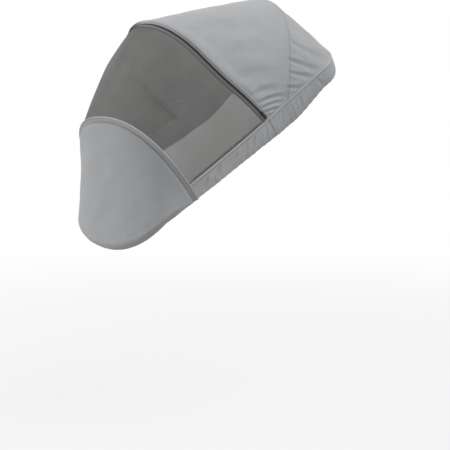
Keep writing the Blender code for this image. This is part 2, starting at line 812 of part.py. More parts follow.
def join(name, solids):
    """One closed body from solids that reach into each other, united at a larger scale."""
    scale = 1000.0
    pieces = []
    for k, (verts, faces) in enumerate(solids):
        mesh = bpy.data.meshes.new(f"{name}_{k}")
        mesh.from_pydata([tuple(c * scale for c in v) for v in verts], [], faces)
        fixer = bmesh.new()
        fixer.from_mesh(mesh)
        bmesh.ops.recalc_face_normals(fixer, faces=fixer.faces)
        fixer.to_mesh(mesh)
        fixer.free()
        piece = bpy.data.objects.new(f"{name}_{k}", mesh)
        bpy.context.collection.objects.link(piece)
        pieces.append(piece)
    whole = pieces[0]
    for piece in pieces[1:]:
        union = whole.modifiers.new("union", "BOOLEAN")
        union.operation = "UNION"
        union.object = piece
    bpy.context.view_layer.update()
    graph = bpy.context.evaluated_depsgraph_get()
    mesh = bpy.data.meshes.new_from_object(whole.evaluated_get(graph))
    verts = [tuple(c / scale for c in v.co) for v in mesh.vertices]
    faces = [tuple(p.vertices) for p in mesh.polygons]
    for piece in pieces:
        bpy.data.objects.remove(piece, do_unlink=True)
    return verts, faces


def plate(half_length, half_nose, half_tail, corner):
    """Outline of a slider plate, wide at the upper nose, with cut corners."""
    return [(-half_length, -half_tail + corner), (-half_length + corner, -half_tail),
            (half_length / 3, -half_nose), (half_length - corner, -half_nose),
            (half_length, -half_nose + corner), (half_length, half_nose - corner),
            (half_length - corner, half_nose), (half_length / 3, half_nose),
            (-half_length + corner, half_tail), (-half_length, half_tail - corner)]


def box_outline(low_x, high_x, low_y, high_y):
    return [(low_x, low_y), (high_x, low_y), (high_x, high_y), (low_x, high_y)]


def place_verts(verts, place, axes):
    """Points of a local frame carried into the seat frame."""
    return [place + sum(a * c for a, c in zip(axes, v)) for v in verts]


def slider_solids():
    """Plates, post, lips and bridge of the slider, and the height of the pull's bar."""
    half = SLIDER_LENGTH / 2
    shoulder = half / 3
    nose = SLIDER_HALF_NOSE
    tail = SLIDER_HALF_TAIL
    lip = SLIDER_LIP
    plate_low = COIL_ABOVE + SLIDER_CLEAR
    plate_top = plate_low + SLIDER_PLATE
    under_top = -TAPE_BOTTOM - SLIDER_CLEAR
    outline = plate(half, nose, tail, PLATE_CORNER)
    solids = [prism(outline, plate_low, plate_top)]
    post = box_outline(shoulder - POST_LENGTH / 2, shoulder + POST_LENGTH / 2, -POST_HALF, POST_HALF)
    solids.append(prism(post, under_top - MERGE, plate_low + MERGE))
    solids.append(prism(outline, under_top - SLIDER_PLATE, under_top))
    for sign in (-1, 1):
        back = 2 * lip - half
        front = half - 2 * lip
        edge = [(back, sign * (tail - lip)), (back, sign * (tail - MERGE)),
                (shoulder, sign * (nose - MERGE)), (front, sign * (nose - MERGE)),
                (front, sign * (nose - lip)), (shoulder, sign * (nose - lip))]
        solids.append(prism(edge, SLIDER_CLEAR, plate_low + MERGE))
    bar_height = plate_top + PULL_CLEAR + PULL_BAR_R
    bridge_low = bar_height + PULL_BAR_R + PULL_CLEAR
    span = BRIDGE_SPAN / 2
    roof = box_outline(-span, span, -BRIDGE_HALF, BRIDGE_HALF)
    solids.append(prism(roof, bridge_low, bridge_low + BRIDGE_WALL))
    for low, high in ((-span, BRIDGE_WALL - span), (span - BRIDGE_WALL, span)):
        leg = box_outline(low + MERGE, high - MERGE, MERGE - BRIDGE_HALF, BRIDGE_HALF - MERGE)
        solids.append(prism(leg, plate_top - MERGE, bridge_low + MERGE))
    return solids, bar_height


def pull_solids():
    """Bar, arms and tab of the pull, which hangs down the zip from its bar."""
    inner = BRIDGE_HALF + PULL_CLEAR
    outer = inner + PULL_ARM
    thick = PULL_THICK / 2
    arm_end = -BRIDGE_SPAN / 2 - PULL_CLEAR
    tip = -PULL_LENGTH
    end = PULL_HALF_END
    corner = PULL_CORNER
    solids = [round_bar(PULL_BAR_R, inner + MERGE)]
    for low, high in ((-outer, -inner), (inner, outer)):
        arm = box_outline(arm_end - MERGE, PULL_BAR_R, low, high)
        solids.append(prism(arm, -thick, thick))
    tab = [(tip, corner - end), (tip + corner, -end), (arm_end - corner, -end), (arm_end, -outer),
           (arm_end, outer), (arm_end - corner, end), (tip + corner, end), (tip, end - corner)]
    solids.append(prism(tab, MERGE - thick, thick - MERGE))
    return solids


def add_slider():
    """The slider, which runs on the side arc, and its pull, which swings on the bridge."""
    place, up, across, outward = slider_frame()
    centre, _ = zip_axis()
    solids, bar_height = slider_solids()
    verts, faces = join("slider", solids)
    verts = place_verts(verts, place, (up, across, outward))
    body = add_object("zip_slider_body", verts, faces, "slider", centre)
    seat = place + outward * bar_height
    raised = outward * math.cos(PULL_HANG) + up * math.sin(PULL_HANG)
    verts, faces = join("pull", pull_solids())
    verts = place_verts(verts, seat, (np.cross(across, raised), across, raised))
    add_object("zip_pull_tab", verts, faces, "slider", seat, body)


for old in list(bpy.data.objects):
    bpy.data.objects.remove(old, do_unlink=True)
MATERIALS = {name: new_material(name) for name in COLOURS}
ROOT = bpy.data.objects.new("seat_plane", None)
bpy.context.collection.objects.link(ROOT)
ROOT.rotation_euler = (0.0, -RECLINE, 0.0)
ROOT.location = (
    -ORIGIN_S * math.cos(RECLINE) + ORIGIN_N * math.sin(RECLINE),
    0.0,
    -ORIGIN_S * math.sin(RECLINE) - ORIGIN_N * math.cos(RECLINE),
)
net = net_rows()
front, seam, rear = hood_rows()
boot, boot_border = boot_rows()
normals, boot_normals = add_panels(net, front, seam, rear, boot, boot_border)
add_net_base_tapes(net, normals)
add_zip()
add_rim()
path = lift(border_path(net + front + [seam] + rear), -BASE_GAP)
centre = np.mean(path, axis=0)
outward = facing(path, centre)
band, band_normals = add_bands(path, outward)
round_cord = ellipse(PIPING_R, PIPING_R, CORD_SIDES, PIPING_PROUD)
upright = np.tile([0.0, 0.0, 1.0], (len(path), 1))
add_sweep("band_piping", path, upright, outward, round_cord, "piping")
add_hem(band, band_normals, boot, boot_normals)
add_slider()
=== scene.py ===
"""Dressed model of a sewn insect net and sun cover.

The surface is drawn in the same level frame as the solids: s from the foot end to the head end, y to the
right and n out of the cover, then leaned back into the row frame. Every cloth is a thin closed shell on
that surface, with its folds, seams, stitches and weave. Lengths are metres.
"""

import math

import bmesh
import bpy
import numpy as np
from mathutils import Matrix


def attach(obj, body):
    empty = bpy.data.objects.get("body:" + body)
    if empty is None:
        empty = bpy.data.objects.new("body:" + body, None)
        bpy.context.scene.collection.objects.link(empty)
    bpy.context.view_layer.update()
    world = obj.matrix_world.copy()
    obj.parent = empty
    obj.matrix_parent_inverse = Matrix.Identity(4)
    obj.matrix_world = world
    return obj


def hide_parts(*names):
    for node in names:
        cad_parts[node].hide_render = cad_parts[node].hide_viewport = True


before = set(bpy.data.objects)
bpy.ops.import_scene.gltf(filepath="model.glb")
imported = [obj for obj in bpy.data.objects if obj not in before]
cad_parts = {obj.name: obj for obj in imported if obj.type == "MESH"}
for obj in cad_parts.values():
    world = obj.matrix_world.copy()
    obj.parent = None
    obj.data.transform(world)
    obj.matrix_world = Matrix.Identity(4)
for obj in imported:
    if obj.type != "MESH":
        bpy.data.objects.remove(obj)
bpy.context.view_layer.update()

# Main sizes, the same as the solids'
RECLINE = math.radians(35.3)
ORIGIN_S, ORIGIN_N = -0.055, -0.045
FABRIC, TAPE, PIPING_R = 0.0012, 0.0008, 0.0015
GAP, SEAM_GAP = 0.0003, 0.0004
RIM_S, RIM_HALF, RIM_HEIGHT, RIM_POWER = -0.298, 0.2360, 0.2230, 2.32
RIM_SLOPE = math.radians(50.0)
BINDING_WIDTH, RIM_NET_GAP = 0.0140, 0.0011
TOE_S, TOE_N, HEM_LEVEL_LEG, HEM_DIP = -0.5027, -0.0674, 0.27, 1.62
ZIP_S, ZIP_HALF, ZIP_SIDE_R, ZIP_WIDEST, ZIP_HEIGHT = 0.003, 0.228, 0.364, 0.062, 0.353
ZIP_LEAN, ZIP_RUN, ZIP_BEND = math.radians(16.5), 0.128, 0.120
ZIP_TAPE_WIDTH, COIL_SLOT, COIL_WIDTH, COIL_ABOVE, COIL_START = 0.0120, 0.0013, 0.0016, 0.0006, 0.0090
NET_BINDING_START, BASE_TAPE_WIDTH = 0.0046, 0.0120
NET_MID_S, NET_MID_BASE_S, NET_MID_HALF, NET_MID_N, NET_POWER = -0.143, -0.150, 0.2315, 0.303, 2.90
BOW_S, BOW_HALF, BOW_TOP_S, BOW_TOP_N, BOW_POWER = 0.104, 0.220, 0.300, 0.206, 2.25
FRONT_BULGE, REAR_BULGE, BULGE_FULL, SEAM_TAPE_WIDTH = 0.004, 0.010, 0.18, 0.0160
TURN_S, TURN_HALF, HEAD_S, HEAD_N, HEAD_POWER = 0.238, 0.219, 0.381, -0.009, 1.85
FOOT_RISE, LEVEL_FROM_S = 0.0137, -0.030
BAND_DEPTH_FOOT, BAND_DEPTH_DEEPEST, BAND_DEPTH_CURVE = 0.042, 0.062, 1.3
BAND_DEEPEST_S, BAND_DEPTH_HEAD = 0.085, 0.048
HEM_TUCK, HEM_TUCK_FROM_S, HEM_TUCK_FULL_S = 0.010, -0.289, -0.012

BASE_GAP = PIPING_R + SEAM_GAP
TAPE_FACES = (FABRIC + GAP, FABRIC + GAP + TAPE)
PANEL_EDGE = COIL_SLOT / 2 + COIL_WIDTH + SEAM_GAP
TAPE_EDGE = COIL_SLOT / 2 + ZIP_TAPE_WIDTH
STRIP_EDGE = TAPE_EDGE + GAP
BOOT_EDGE = BINDING_WIDTH + SEAM_GAP
HEM_FOOT_N = FOOT_RISE - BAND_DEPTH_FOOT
ZIP_SIDE_Y = ZIP_HALF - ZIP_SIDE_R

# Sizes that aren't the solids': the foot cover's hem, turned-under edge and front, and how much further
# forward the arched seam lies at the sides
TURN_HEIGHT, TURN_UNDER, TURN_UNDER_FULL = 0.026, 0.017, 0.14
HEM_LEVEL_POWER, FRONT_SAG, SEAM_FORWARD = 2.28, 0.005, 0.013

# Sewing: half the gap at a sewn cut, a crease's ridge beside its depth, the right side's creases beside
# the left's, then grooves and puffs as (distance from the seam or edge, width), with their depth or height
HALF_GAP = 0.00015
CREASE_RIDGE, FAR_CREASES = 0.55, 0.85
SEAM_GROOVE, SEAM_GROOVE_DEPTH = (0.0, 0.0011), 0.0007
SEAM_PUFF, SEAM_PUFF_HEIGHT = (0.006, 0.0040), 0.0005
EDGE_GROOVE, EDGE_GROOVE_DEPTH = (0.0125, 0.0008), 0.0004
BAND_GROOVE, BAND_GROOVE_DEPTH = (0.0072, 0.0009), 0.0009
STITCH_LENGTH, STITCH_PITCH, STITCH_R = 0.0026, 0.0036, 0.00022
COIL_PITCH, COIL_STEPS, COIL_WIRE_R = 0.00132, 9, 0.00031

# Depths of the thin pieces' two faces below the surface, where the piping's flange and the zip tape have
# their points, and the radii of the round pieces
NET_FACES, BASE_TAPE_FACES, FLANGE_FACES = (0.0002, 0.0005), (0.0008, 0.0016), (0.0010, 0.0014)
FLANGE_PLACES = (-0.0008, 0.0004, 0.0016, 0.0028, 0.0038)
TAPE_PLACES = (0.0001, 0.0012, 0.0020, 0.0026, 0.0042, 0.0062, 0.0084, 0.0106)
CORD_R, CORD_LIFT, RIM_ELASTIC_R, HEM_ELASTIC_R = 0.0016, 0.0004, 0.0016, 0.0013

# The hood's lip: its height at places along the arch, from the left foot at 0 to the right foot at 1
LIP = np.array([
    (0.0, 0.0012), (0.12, 0.003), (0.3, 0.0052), (0.42, 0.0044), (0.5, 0.003), (0.56, 0.008),
    (0.61, 0.0115), (0.68, 0.008), (0.8, 0.0035), (1.0, 0.0012),
])
LIP_SMOOTHING = 19
LIP_ROLL = (0.0004, 0.0062, 0.0070, 0.0520)

# Where along the arch the lip's front, the zip tape and the net's strip turn black and back again
LIP_BLACK = (0.50, 0.57, 0.60, 0.72)
TAPE_BLACK = (0.52, 0.57, 0.59, 0.70)
STRIP_BLACK = (0.47, 0.56, 0.62, 0.72)

# Fineness of the dressed surface
COLUMNS = 396
HALF = COLUMNS // 2
DENSE = 2400
NET_ROWS, FRONT_ROWS, REAR_ROWS, TURN_ROWS, BOOT_ROWS, BAND_ROWS = 45, 91, 49, 12, 71, 34
EDGE_ROWS, STRIP_ROWS, BASE_TAPE_ROWS, SEAM_TAPE_ROWS = 12, 9, 7, 26
EDGE_POINTS, ZIP_POINTS = 640, 420


def unit(vectors):
    return vectors / np.maximum(np.linalg.norm(vectors, axis=-1, keepdims=True), 1e-12)


def smooth_step(value, start, end):
    f = np.clip((value - start) / (end - start), 0.0, 1.0)
    return f * f * (3 - 2 * f)


def hill(value, a, b, c, d):
    """Rises from nothing at a to one at b, and falls from one at c to nothing at d."""
    return smooth_step(value, a, b) * (1 - smooth_step(value, c, d))


def bell(value, middle, width):
    return np.exp(-((value - middle) / width) ** 2)


def ripple(along, pitch, wander=0.0, turns=0.0, start=0.0):
    """Ripples along a line, about a pitch apart, that wander from their even places."""
    return np.sin(along * 2 * math.pi / pitch + wander * np.sin(along * turns) + start)


def from_ends(count):
    """How many points each one lies from the nearer end."""
    return np.minimum(np.arange(count), np.arange(count)[::-1])


def lengths(points, axis=0):
    """Distance along a line of points at each of them, or along every line of a grid."""
    steps = np.linalg.norm(np.diff(points, axis=axis), axis=-1)
    first = np.zeros_like(np.take(steps, [0], axis=axis))
    return np.concatenate([first, np.cumsum(steps, axis=axis)], axis=axis)


def at_places(places, along, points):
    """Points of a line at given distances along it."""
    return np.stack([np.interp(places, along, points[:, k]) for k in range(3)], axis=-1)


def resample(points, count):
    along = lengths(points)
    return at_places(np.linspace(0.0, along[-1], count + 1), along, points)


def arch(base_s, base_n, half, top_s, top_n, power, leg=0.0):
    angle = np.linspace(0.0, math.pi, DENSE)
    across = -np.sign(np.cos(angle)) * np.abs(np.cos(angle)) ** (2 / power)
    rise = leg + (1 - leg) * np.sin(angle) ** (2 / power)
    across = np.concatenate([[-1.0], across, [1.0]])
    rise = np.concatenate([[0.0], rise, [0.0]])
    points = [base_s + (top_s - base_s) * rise, half * across, base_n + (top_n - base_n) * rise]
    return resample(np.stack(points, axis=1), COLUMNS)


# The zip's arch

CROWN_ANGLE = math.pi / 2 - 2 * math.atan((ZIP_SIDE_R + ZIP_WIDEST - ZIP_HEIGHT) / -ZIP_SIDE_Y)
CROWN_R = ZIP_SIDE_R + ZIP_SIDE_Y / math.cos(CROWN_ANGLE)
CROWN_U = ZIP_WIDEST - ZIP_SIDE_Y * math.tan(CROWN_ANGLE)
FOOT_ANGLE = math.asin(-ZIP_WIDEST / ZIP_SIDE_R)
SIDE_LENGTH = ZIP_SIDE_R * (CROWN_ANGLE - FOOT_ANGLE)
ZIP_LENGTH = 2 * SIDE_LENGTH + 2 * CROWN_R * (math.pi / 2 - CROWN_ANGLE)


def zip_frames(along, aside=0.0):
    """Points of the zip at distances along it, with its beside and outward directions."""
    along = np.asarray(along, float)
    mirrored = along > ZIP_LENGTH / 2
    distance = np.where(mirrored, ZIP_LENGTH - along, along)
    low = distance <= SIDE_LENGTH
    angle = np.where(low, FOOT_ANGLE + distance / ZIP_SIDE_R,
                     CROWN_ANGLE + (distance - SIDE_LENGTH) / CROWN_R)
    y = np.where(low, -ZIP_SIDE_Y - ZIP_SIDE_R * np.cos(angle), -CROWN_R * np.cos(angle))
    u = np.where(low, ZIP_WIDEST + ZIP_SIDE_R * np.sin(angle), CROWN_U + CROWN_R * np.sin(angle))
    bend_r = ZIP_BEND / ZIP_LEAN
    run = np.minimum(u, ZIP_RUN)
    left = ZIP_LEAN - ZIP_LEAN * np.clip(u - ZIP_RUN, 0.0, ZIP_BEND) / ZIP_BEND
    upright = np.maximum(u - ZIP_RUN - ZIP_BEND, 0.0)
    s = ZIP_S - run * math.sin(ZIP_LEAN) - bend_r * (np.cos(left) - math.cos(ZIP_LEAN))
    n = run * math.cos(ZIP_LEAN) + bend_r * (math.sin(ZIP_LEAN) - np.sin(left)) + upright
    side = np.where(mirrored, -1.0, 1.0)
    zero = 0 * s
    beside = np.stack([np.cos(left), zero, np.sin(left)], axis=-1)
    up = np.stack([-np.sin(left), zero, np.cos(left)], axis=-1)
    outward = up * np.sin(angle)[..., None]
    outward[..., 1] -= side * np.cos(angle)
    return np.stack([s, side * y, n], axis=-1) + beside * aside, beside, outward


def foot_distance(aside):
    u = (BASE_GAP - aside * math.sin(ZIP_LEAN)) / math.cos(ZIP_LEAN)
    return ZIP_SIDE_R * (math.asin((u - ZIP_WIDEST) / ZIP_SIDE_R) - FOOT_ANGLE)


def zip_line(aside, count):
    """Evenly spaced places along the zip at a distance beside it, their points and outward directions."""
    first = foot_distance(aside)
    places = np.linspace(first, ZIP_LENGTH - first, count)
    points, _, outward = zip_frames(places, aside)
    return places, points, outward


def zip_row(aside):
    return zip_line(aside, COLUMNS + 1)[1]


# Rows of the surface

def between(first, last, fractions, bulge):
    across = unit(np.gradient((first + last) / 2, axis=0))
    outward = unit(np.cross(last - first, across))
    outward *= smooth_step(from_ends(len(first)), 0, BULGE_FULL * (len(first) - 1))[:, None]
    return [first + (last - first) * f + outward * bulge * 4 * f * (1 - f) for f in fractions]


def curved(first, middle, last, fractions):
    return [first * (1 - f) * (1 - 2 * f) + middle * 4 * f * (1 - f) + last * f * (2 * f - 1)
            for f in fractions]


def at_columns(row, places):
    return at_places(places, np.arange(len(row)), row)


def base_n(s):
    return BASE_GAP + FOOT_RISE * max(LEVEL_FROM_S - s, 0.0) / (LEVEL_FROM_S - RIM_S)


def rim_arch():
    leg = HEM_FOOT_N / (HEM_FOOT_N - RIM_HEIGHT)
    return arch(RIM_S, HEM_FOOT_N, RIM_HALF, RIM_S, RIM_HEIGHT, RIM_POWER, leg)


def rim_frames():
    path = rim_arch()
    to_head = np.array([1.0, 0.0, 0.0])
    out = unit(np.cross(to_head, np.gradient(path, axis=0)))
    slope = RIM_SLOPE * out[:, 2:]
    beside = to_head * np.cos(slope) + out * np.sin(slope)
    return path, beside, out * np.cos(slope) - to_head * np.sin(slope)


def net_rows():
    rim = rim_arch() + [RIM_NET_GAP * 0.3, 0.0, 0.0]
    foot = np.interp(base_n(RIM_S), rim[:HALF, 2], np.arange(HALF))
    start = at_columns(rim, np.linspace(foot, COLUMNS - foot, COLUMNS + 1))
    middle = arch(NET_MID_BASE_S, base_n(NET_MID_BASE_S), NET_MID_HALF, NET_MID_S, NET_MID_N, NET_POWER)
    end = zip_row(-STRIP_EDGE)
    rows = [start] + curved(start, middle, end, np.linspace(0.0, 1.0, NET_ROWS)[1:-1]) + [end]
    edge = zip_row(-PANEL_EDGE)
    return rows + [end + (edge - end) * f for f in (0.25, 0.5, 0.75, 1.0)]


def hood_rows():
    seam = arch(BOW_S, BASE_GAP, BOW_HALF, BOW_TOP_S, BOW_TOP_N, BOW_POWER)
    head = arch(TURN_S, BASE_GAP, TURN_HALF, HEAD_S, HEAD_N + BASE_GAP, HEAD_POWER)
    edge = zip_row(PANEL_EDGE)
    start = zip_row(STRIP_EDGE)
    front = [edge + (start - edge) * k / EDGE_ROWS for k in range(EDGE_ROWS + 1)]
    front += between(start, seam, np.linspace(0.0, 1.0, FRONT_ROWS)[1:-1], FRONT_BULGE)
    rear = between(seam, head, np.linspace(0.0, 1.0, REAR_ROWS)[1:-1], REAR_BULGE)
    return front, seam, rear + [head]


def facing(path):
    """Level directions square to a line, away from its middle."""
    level = np.array([1.0, 1.0, 0.0])
    side = unit(np.cross(unit(unit(np.gradient(path, axis=0)) * level), [0.0, 0.0, 1.0]))
    return side * np.sign(np.sum(side * (path - path.mean(axis=0)) * level, axis=1))[:, None]


def plan_turn(row):
    """How far along half a hem or rim each point is: partly distance, partly its turn seen from above."""
    half = to_row(row[:HALF + 1])
    along = lengths(half)
    step = np.gradient(half[:, :2], axis=0)
    turned = np.abs(np.arctan2(step[:, 0], -step[:, 1]))
    turned = np.maximum.accumulate(np.abs(turned - turned[0]))
    return 0.45 * along / along[-1] + 0.55 * turned / turned[-1]


def boot_rows():
    """The foot cover: straight lines down from the rim to the hem, which hangs round the toe."""
    path, beside, _ = rim_frames()
    rim = path - beside * BOOT_EDGE
    hem = arch(rim[0, 0], rim[0, 2], -rim[0, 1], TOE_S, TOE_N, HEM_LEVEL_POWER, HEM_LEVEL_LEG)
    run = (hem[:, 0] - rim[0, 0]) / (TOE_S - rim[0, 0])
    hem[:, 2] -= (TOE_N - rim[0, 2]) * HEM_DIP * run * (1 - run)
    match = np.interp(plan_turn(rim), plan_turn(hem), np.arange(HALF + 1))
    hem = at_columns(hem, np.concatenate([match, COLUMNS - match[-2::-1]]))
    share = smooth_step(from_ends(COLUMNS + 1), 0, TURN_UNDER_FULL * COLUMNS)
    drop = np.linalg.norm(rim - hem, axis=1)
    turn = np.minimum(TURN_HEIGHT / np.maximum(drop, 1e-9), 0.3)
    out = facing(hem) * share[:, None]
    rows = []
    for f in np.linspace(0.0, 1.0, TURN_ROWS)[:-1]:
        rows.append(hem + (rim - hem) * (turn * f)[:, None] - out * TURN_UNDER * (1 - f) ** 1.6)
    for f in np.linspace(0.0, 1.0, BOOT_ROWS):
        up = turn + (1 - turn) * f
        rows.append(hem + (rim - hem) * up[:, None] - out * FRONT_SAG * math.sin(math.pi * f) ** 0.8)
    return np.array(rows)


def boot_out(grid):
    """Normals of the foot cover's grid, whose sides may run into one point, facing the foot end."""
    normals = row_normals(grid)
    normals[:, :2], normals[:, -2:] = normals[:, 2:3], normals[:, -3:-2]
    return -normals * np.sign(normals[len(grid) // 2, grid.shape[1] // 2, 0])


def row_normals(grid):
    steps = unit(np.diff(grid, axis=0))
    along = np.concatenate([steps[:1], (steps[:-1] + steps[1:]) / 2, steps[-1:]])
    across = np.gradient(grid, axis=1)
    return unit(np.cross(along, across))


# Cloth movement: folds pressed into the surface, given in the level frame

def wave(points, seed, size):
    """A smooth field of about one, the same each time, with features of a given size."""
    rng = np.random.default_rng(seed)
    total = np.zeros(points.shape[:-1])
    for _ in range(9):
        direction = unit(rng.normal(size=3)) * (2 * math.pi / size) * rng.uniform(0.6, 1.5)
        total += np.sin(points @ direction + rng.uniform(0, 2 * math.pi))
    return total / 3.0


def crease(points, start, end, width, depth, bow):
    """Movement of a soft crease between two places on the side of the cover, as (s, n) pairs.

    It is deepest between its ends and has a low ridge along its upper edge.
    """
    line = np.array(end) - start
    size = np.linalg.norm(line)
    line = line / size
    flat = points[..., [0, 2]] - start
    along = flat @ line / size
    aside = flat @ np.array([-line[1], line[0]])
    aside = aside - bow * size * 4 * np.clip(along, 0, 1) * (1 - np.clip(along, 0, 1))
    fade = hill(along, -0.08, 0.15, 0.55, 1.10)
    broad = width * (0.7 + 0.6 * np.clip(along, 0, 1))
    valley = bell(aside, 0.0, broad)
    ridge = bell(aside, 1.7 * broad, broad) + 0.5 * bell(aside, -1.9 * broad, broad)
    return depth * fade * (CREASE_RIDGE * ridge - valley)


# Creases: s and n of the start, s and n of the end, width and depth, in millimetres
HOOD_CREASES = [
    (-2, 56, 98, 8, 5.6, 2.7),
    (4, 37.5, 90, -4, 5, 2.5),
    (2, 22.5, 66, -8, 4.2, 2.1),
    (3, 11, 38, -6, 3.2, 1.4),
    (-12, 84, 80, 47, 7.5, 1.6),
]
REAR_CREASES = [
    (205, 114, 272, 6, 9, 2.2),
    (158, 90, 238, -4, 7.2, 2.4),
    (136, 63, 206, -4, 5.8, 2.4),
    (86, 51, 162, -6, 5, 2.2),
    (240, 150, 335, 8, 11, 1.8),
]
SOFT_CREASES = [
    (15, 200, 115, 145, 15, 1.8),
    (-12, 140, 125, 60, 16, 2),
    (5, 285, 120, 205, 17, 1.6),
    (60, 240, 200, 160, 15, 1.2),
]
BAND_CREASES = [
    (-119, 4, -160, -24, 3.4, 3),
    (-55, -4, -92, -40, 3.8, 3),
    (-180, 8, -245, -30, 4, 3.4),
    (-236, 6, -270, -24, 3.4, 2.6),
    (-85, 2, -118, -36, 5.5, 2),
    (-10, -4, -30, -44, 5, 2),
    (60, -6, 30, -50, 5, 1.3),
    (130, -4, 118, -46, 5, 1.3),
    (205, -4, 215, -40, 5.5, 1.6),
]


def both_sides(points, creases, bow=0.06):
    """Creases on the left side, and somewhat slacker ones on the right."""
    total = np.zeros(points.shape[:-1])
    left = 1 - smooth_step(points[..., 1], -0.060, -0.010)
    right = smooth_step(points[..., 1], 0.010, 0.060)
    for k, (s, n, end_s, end_n, width, depth) in enumerate(np.array(creases) / 1000):
        total += left * crease(points, (s, n), (end_s, end_n), width, depth, bow)
        slip = 0.006 * math.sin(2.3 * k + 1.0)
        start, end = (s + slip, n + 0.4 * slip), (end_s - 0.5 * slip, end_n)
        total += right * FAR_CREASES * crease(points, start, end, width * 1.1, depth, bow)
    return total


# Meshes

def placed(name, data):
    obj = bpy.data.objects.new(name, data)
    bpy.context.collection.objects.link(obj)
    return obj


def to_row(points):
    """Points of the level frame in the row frame."""
    s = points[..., 0] - ORIGIN_S
    n = points[..., 2] - ORIGIN_N
    c, d = math.cos(RECLINE), math.sin(RECLINE)
    return np.stack([s * c - n * d, points[..., 1], s * d + n * c], axis=-1)


def new_object(name, verts, quads, material, uv=None, seam=None, sharp=40.0):
    """An object from arrays of points and quads, its faces turned out, with its place in its mesh."""
    a, b, c, d = (verts[quads[:, k]] for k in range(4))
    volume = np.sum(np.cross(b - a, c - a) * (a + b + c) + np.cross(c - a, d - a) * (a + c + d))
    if volume < 0:
        quads = quads[:, ::-1]
    mesh = bpy.data.meshes.new(name)
    mesh.vertices.add(len(verts))
    mesh.vertices.foreach_set("co", verts.astype(np.float32).ravel())
    mesh.loops.add(quads.size)
    mesh.loops.foreach_set("vertex_index", quads.astype(np.int32).ravel())
    mesh.polygons.add(len(quads))
    mesh.polygons.foreach_set("loop_start", np.arange(0, quads.size, 4, dtype=np.int32))
    mesh.update(calc_edges=True)
    if uv is not None:
        layer = mesh.uv_layers.new(name="cloth")
        layer.data.foreach_set("uv", np.asarray(uv, np.float32)[quads.ravel()].ravel())
    if seam is not None:
        layer = mesh.attributes.new("seam", "FLOAT", "POINT")
        layer.data.foreach_set("value", np.asarray(seam, np.float32).ravel())
    mesh.validate()
    mesh.shade_smooth()
    mesh.set_sharp_from_angle(angle=math.radians(sharp))
    mesh.materials.append(material)
    return placed(name, mesh)


def join_points(obj):
    """Joins the points that coincide where a grid's side runs into a corner."""
    work = bmesh.new()
    work.from_mesh(obj.data)
    bmesh.ops.remove_doubles(work, verts=work.verts, dist=2e-5)
    work.to_mesh(obj.data)
    work.free()
    obj.data.validate()


def shell(name, grid, normals, outer, inner, material, seam=None):
    """A closed cloth between two depths below a grid of points."""
    grid = np.array(grid)
    rows, columns = grid.shape[:2]
    top = (grid - normals * outer).reshape(-1, 3)
    bottom = (grid - normals * inner).reshape(-1, 3)
    under = rows * columns
    index = np.arange(under).reshape(rows, columns)
    a, b, c, d = index[:-1, :-1], index[1:, :-1], index[1:, 1:], index[:-1, 1:]
    faces = [np.stack([a, b, c, d], axis=-1).reshape(-1, 4)]
    faces.append(np.stack([d, c, b, a], axis=-1).reshape(-1, 4) + under)
    border = np.concatenate([index[0, :-1], index[:-1, -1], index[-1, :0:-1], index[:0:-1, 0]])
    nxt = np.roll(border, -1)
    faces.append(np.stack([border, nxt, nxt + under, border + under], axis=-1))
    across = lengths(grid, 1)
    across = across - across[:, columns // 2:columns // 2 + 1]
    uv = np.stack([across, lengths(grid)], axis=-1).reshape(-1, 2)
    uv = np.concatenate([uv, uv])
    if seam is not None:
        seam = np.concatenate([np.asarray(seam).ravel()] * 2)
    verts = to_row(np.concatenate([top, bottom]))
    return new_object(name, verts, np.concatenate(faces), material, uv, seam)


def sweep(name, path, beside, outward, profile, material, closed=False, hole=None, sharp=40.0):
    """A profile of (beside, outward) pairs carried along a path. It may differ from place to place.

    A hole has as many points as the profile.
    """
    stations = len(path)
    loops = [profile] if hole is None else [profile, hole]
    verts, faces, uv = [], [], []
    along = lengths(path)
    for part, loop in enumerate(loops):
        if loop.ndim == 2:
            loop = np.broadcast_to(loop, (stations,) + loop.shape)
        size = loop.shape[1]
        ring = path[:, None] + beside[:, None] * loop[..., :1] + outward[:, None] * loop[..., 1:]
        verts.append(ring.reshape(-1, 3))
        girth = lengths(np.concatenate([loop[0], loop[0][:1]]))[:-1]
        uv.append(np.stack(np.broadcast_arrays(along[:, None], girth[None]), axis=-1).reshape(-1, 2))
        first = part * stations * size
        i = np.arange(stations if closed else stations - 1)[:, None]
        k = np.arange(size)[None]
        a = first + i * size + k
        b = first + (i + 1) % stations * size + k
        m = (k + 1) % size - k
        quad = [a, a + m, b + m, b] if part == 0 else [b, b + m, a + m, a]
        faces.append(np.stack(np.broadcast_arrays(*quad), axis=-1).reshape(-1, 4))
    for ring, flip in () if closed else ((0, False), (stations - 1, True)):
        a = ring * size
        if hole is None:
            k = np.arange(size // 2 - 1)
            quad = np.stack([a + k, a + size - 1 - k, a + size - 2 - k, a + k + 1], axis=-1)
        else:
            b = (stations + ring) * size
            k = np.arange(size)
            m = (k + 1) % size
            quad = np.stack([a + m, b + m, b + k, a + k], axis=-1)
        faces.append(quad if flip else quad[:, ::-1])
    return new_object(name, to_row(np.concatenate(verts)), np.concatenate(faces), material,
                      np.concatenate(uv), None, sharp)


def ring_profile(radius, sides, lift=0.0):
    turns = 2 * math.pi * np.arange(sides) / sides
    return np.stack([radius * np.cos(turns), lift + radius * np.sin(turns)], axis=-1)


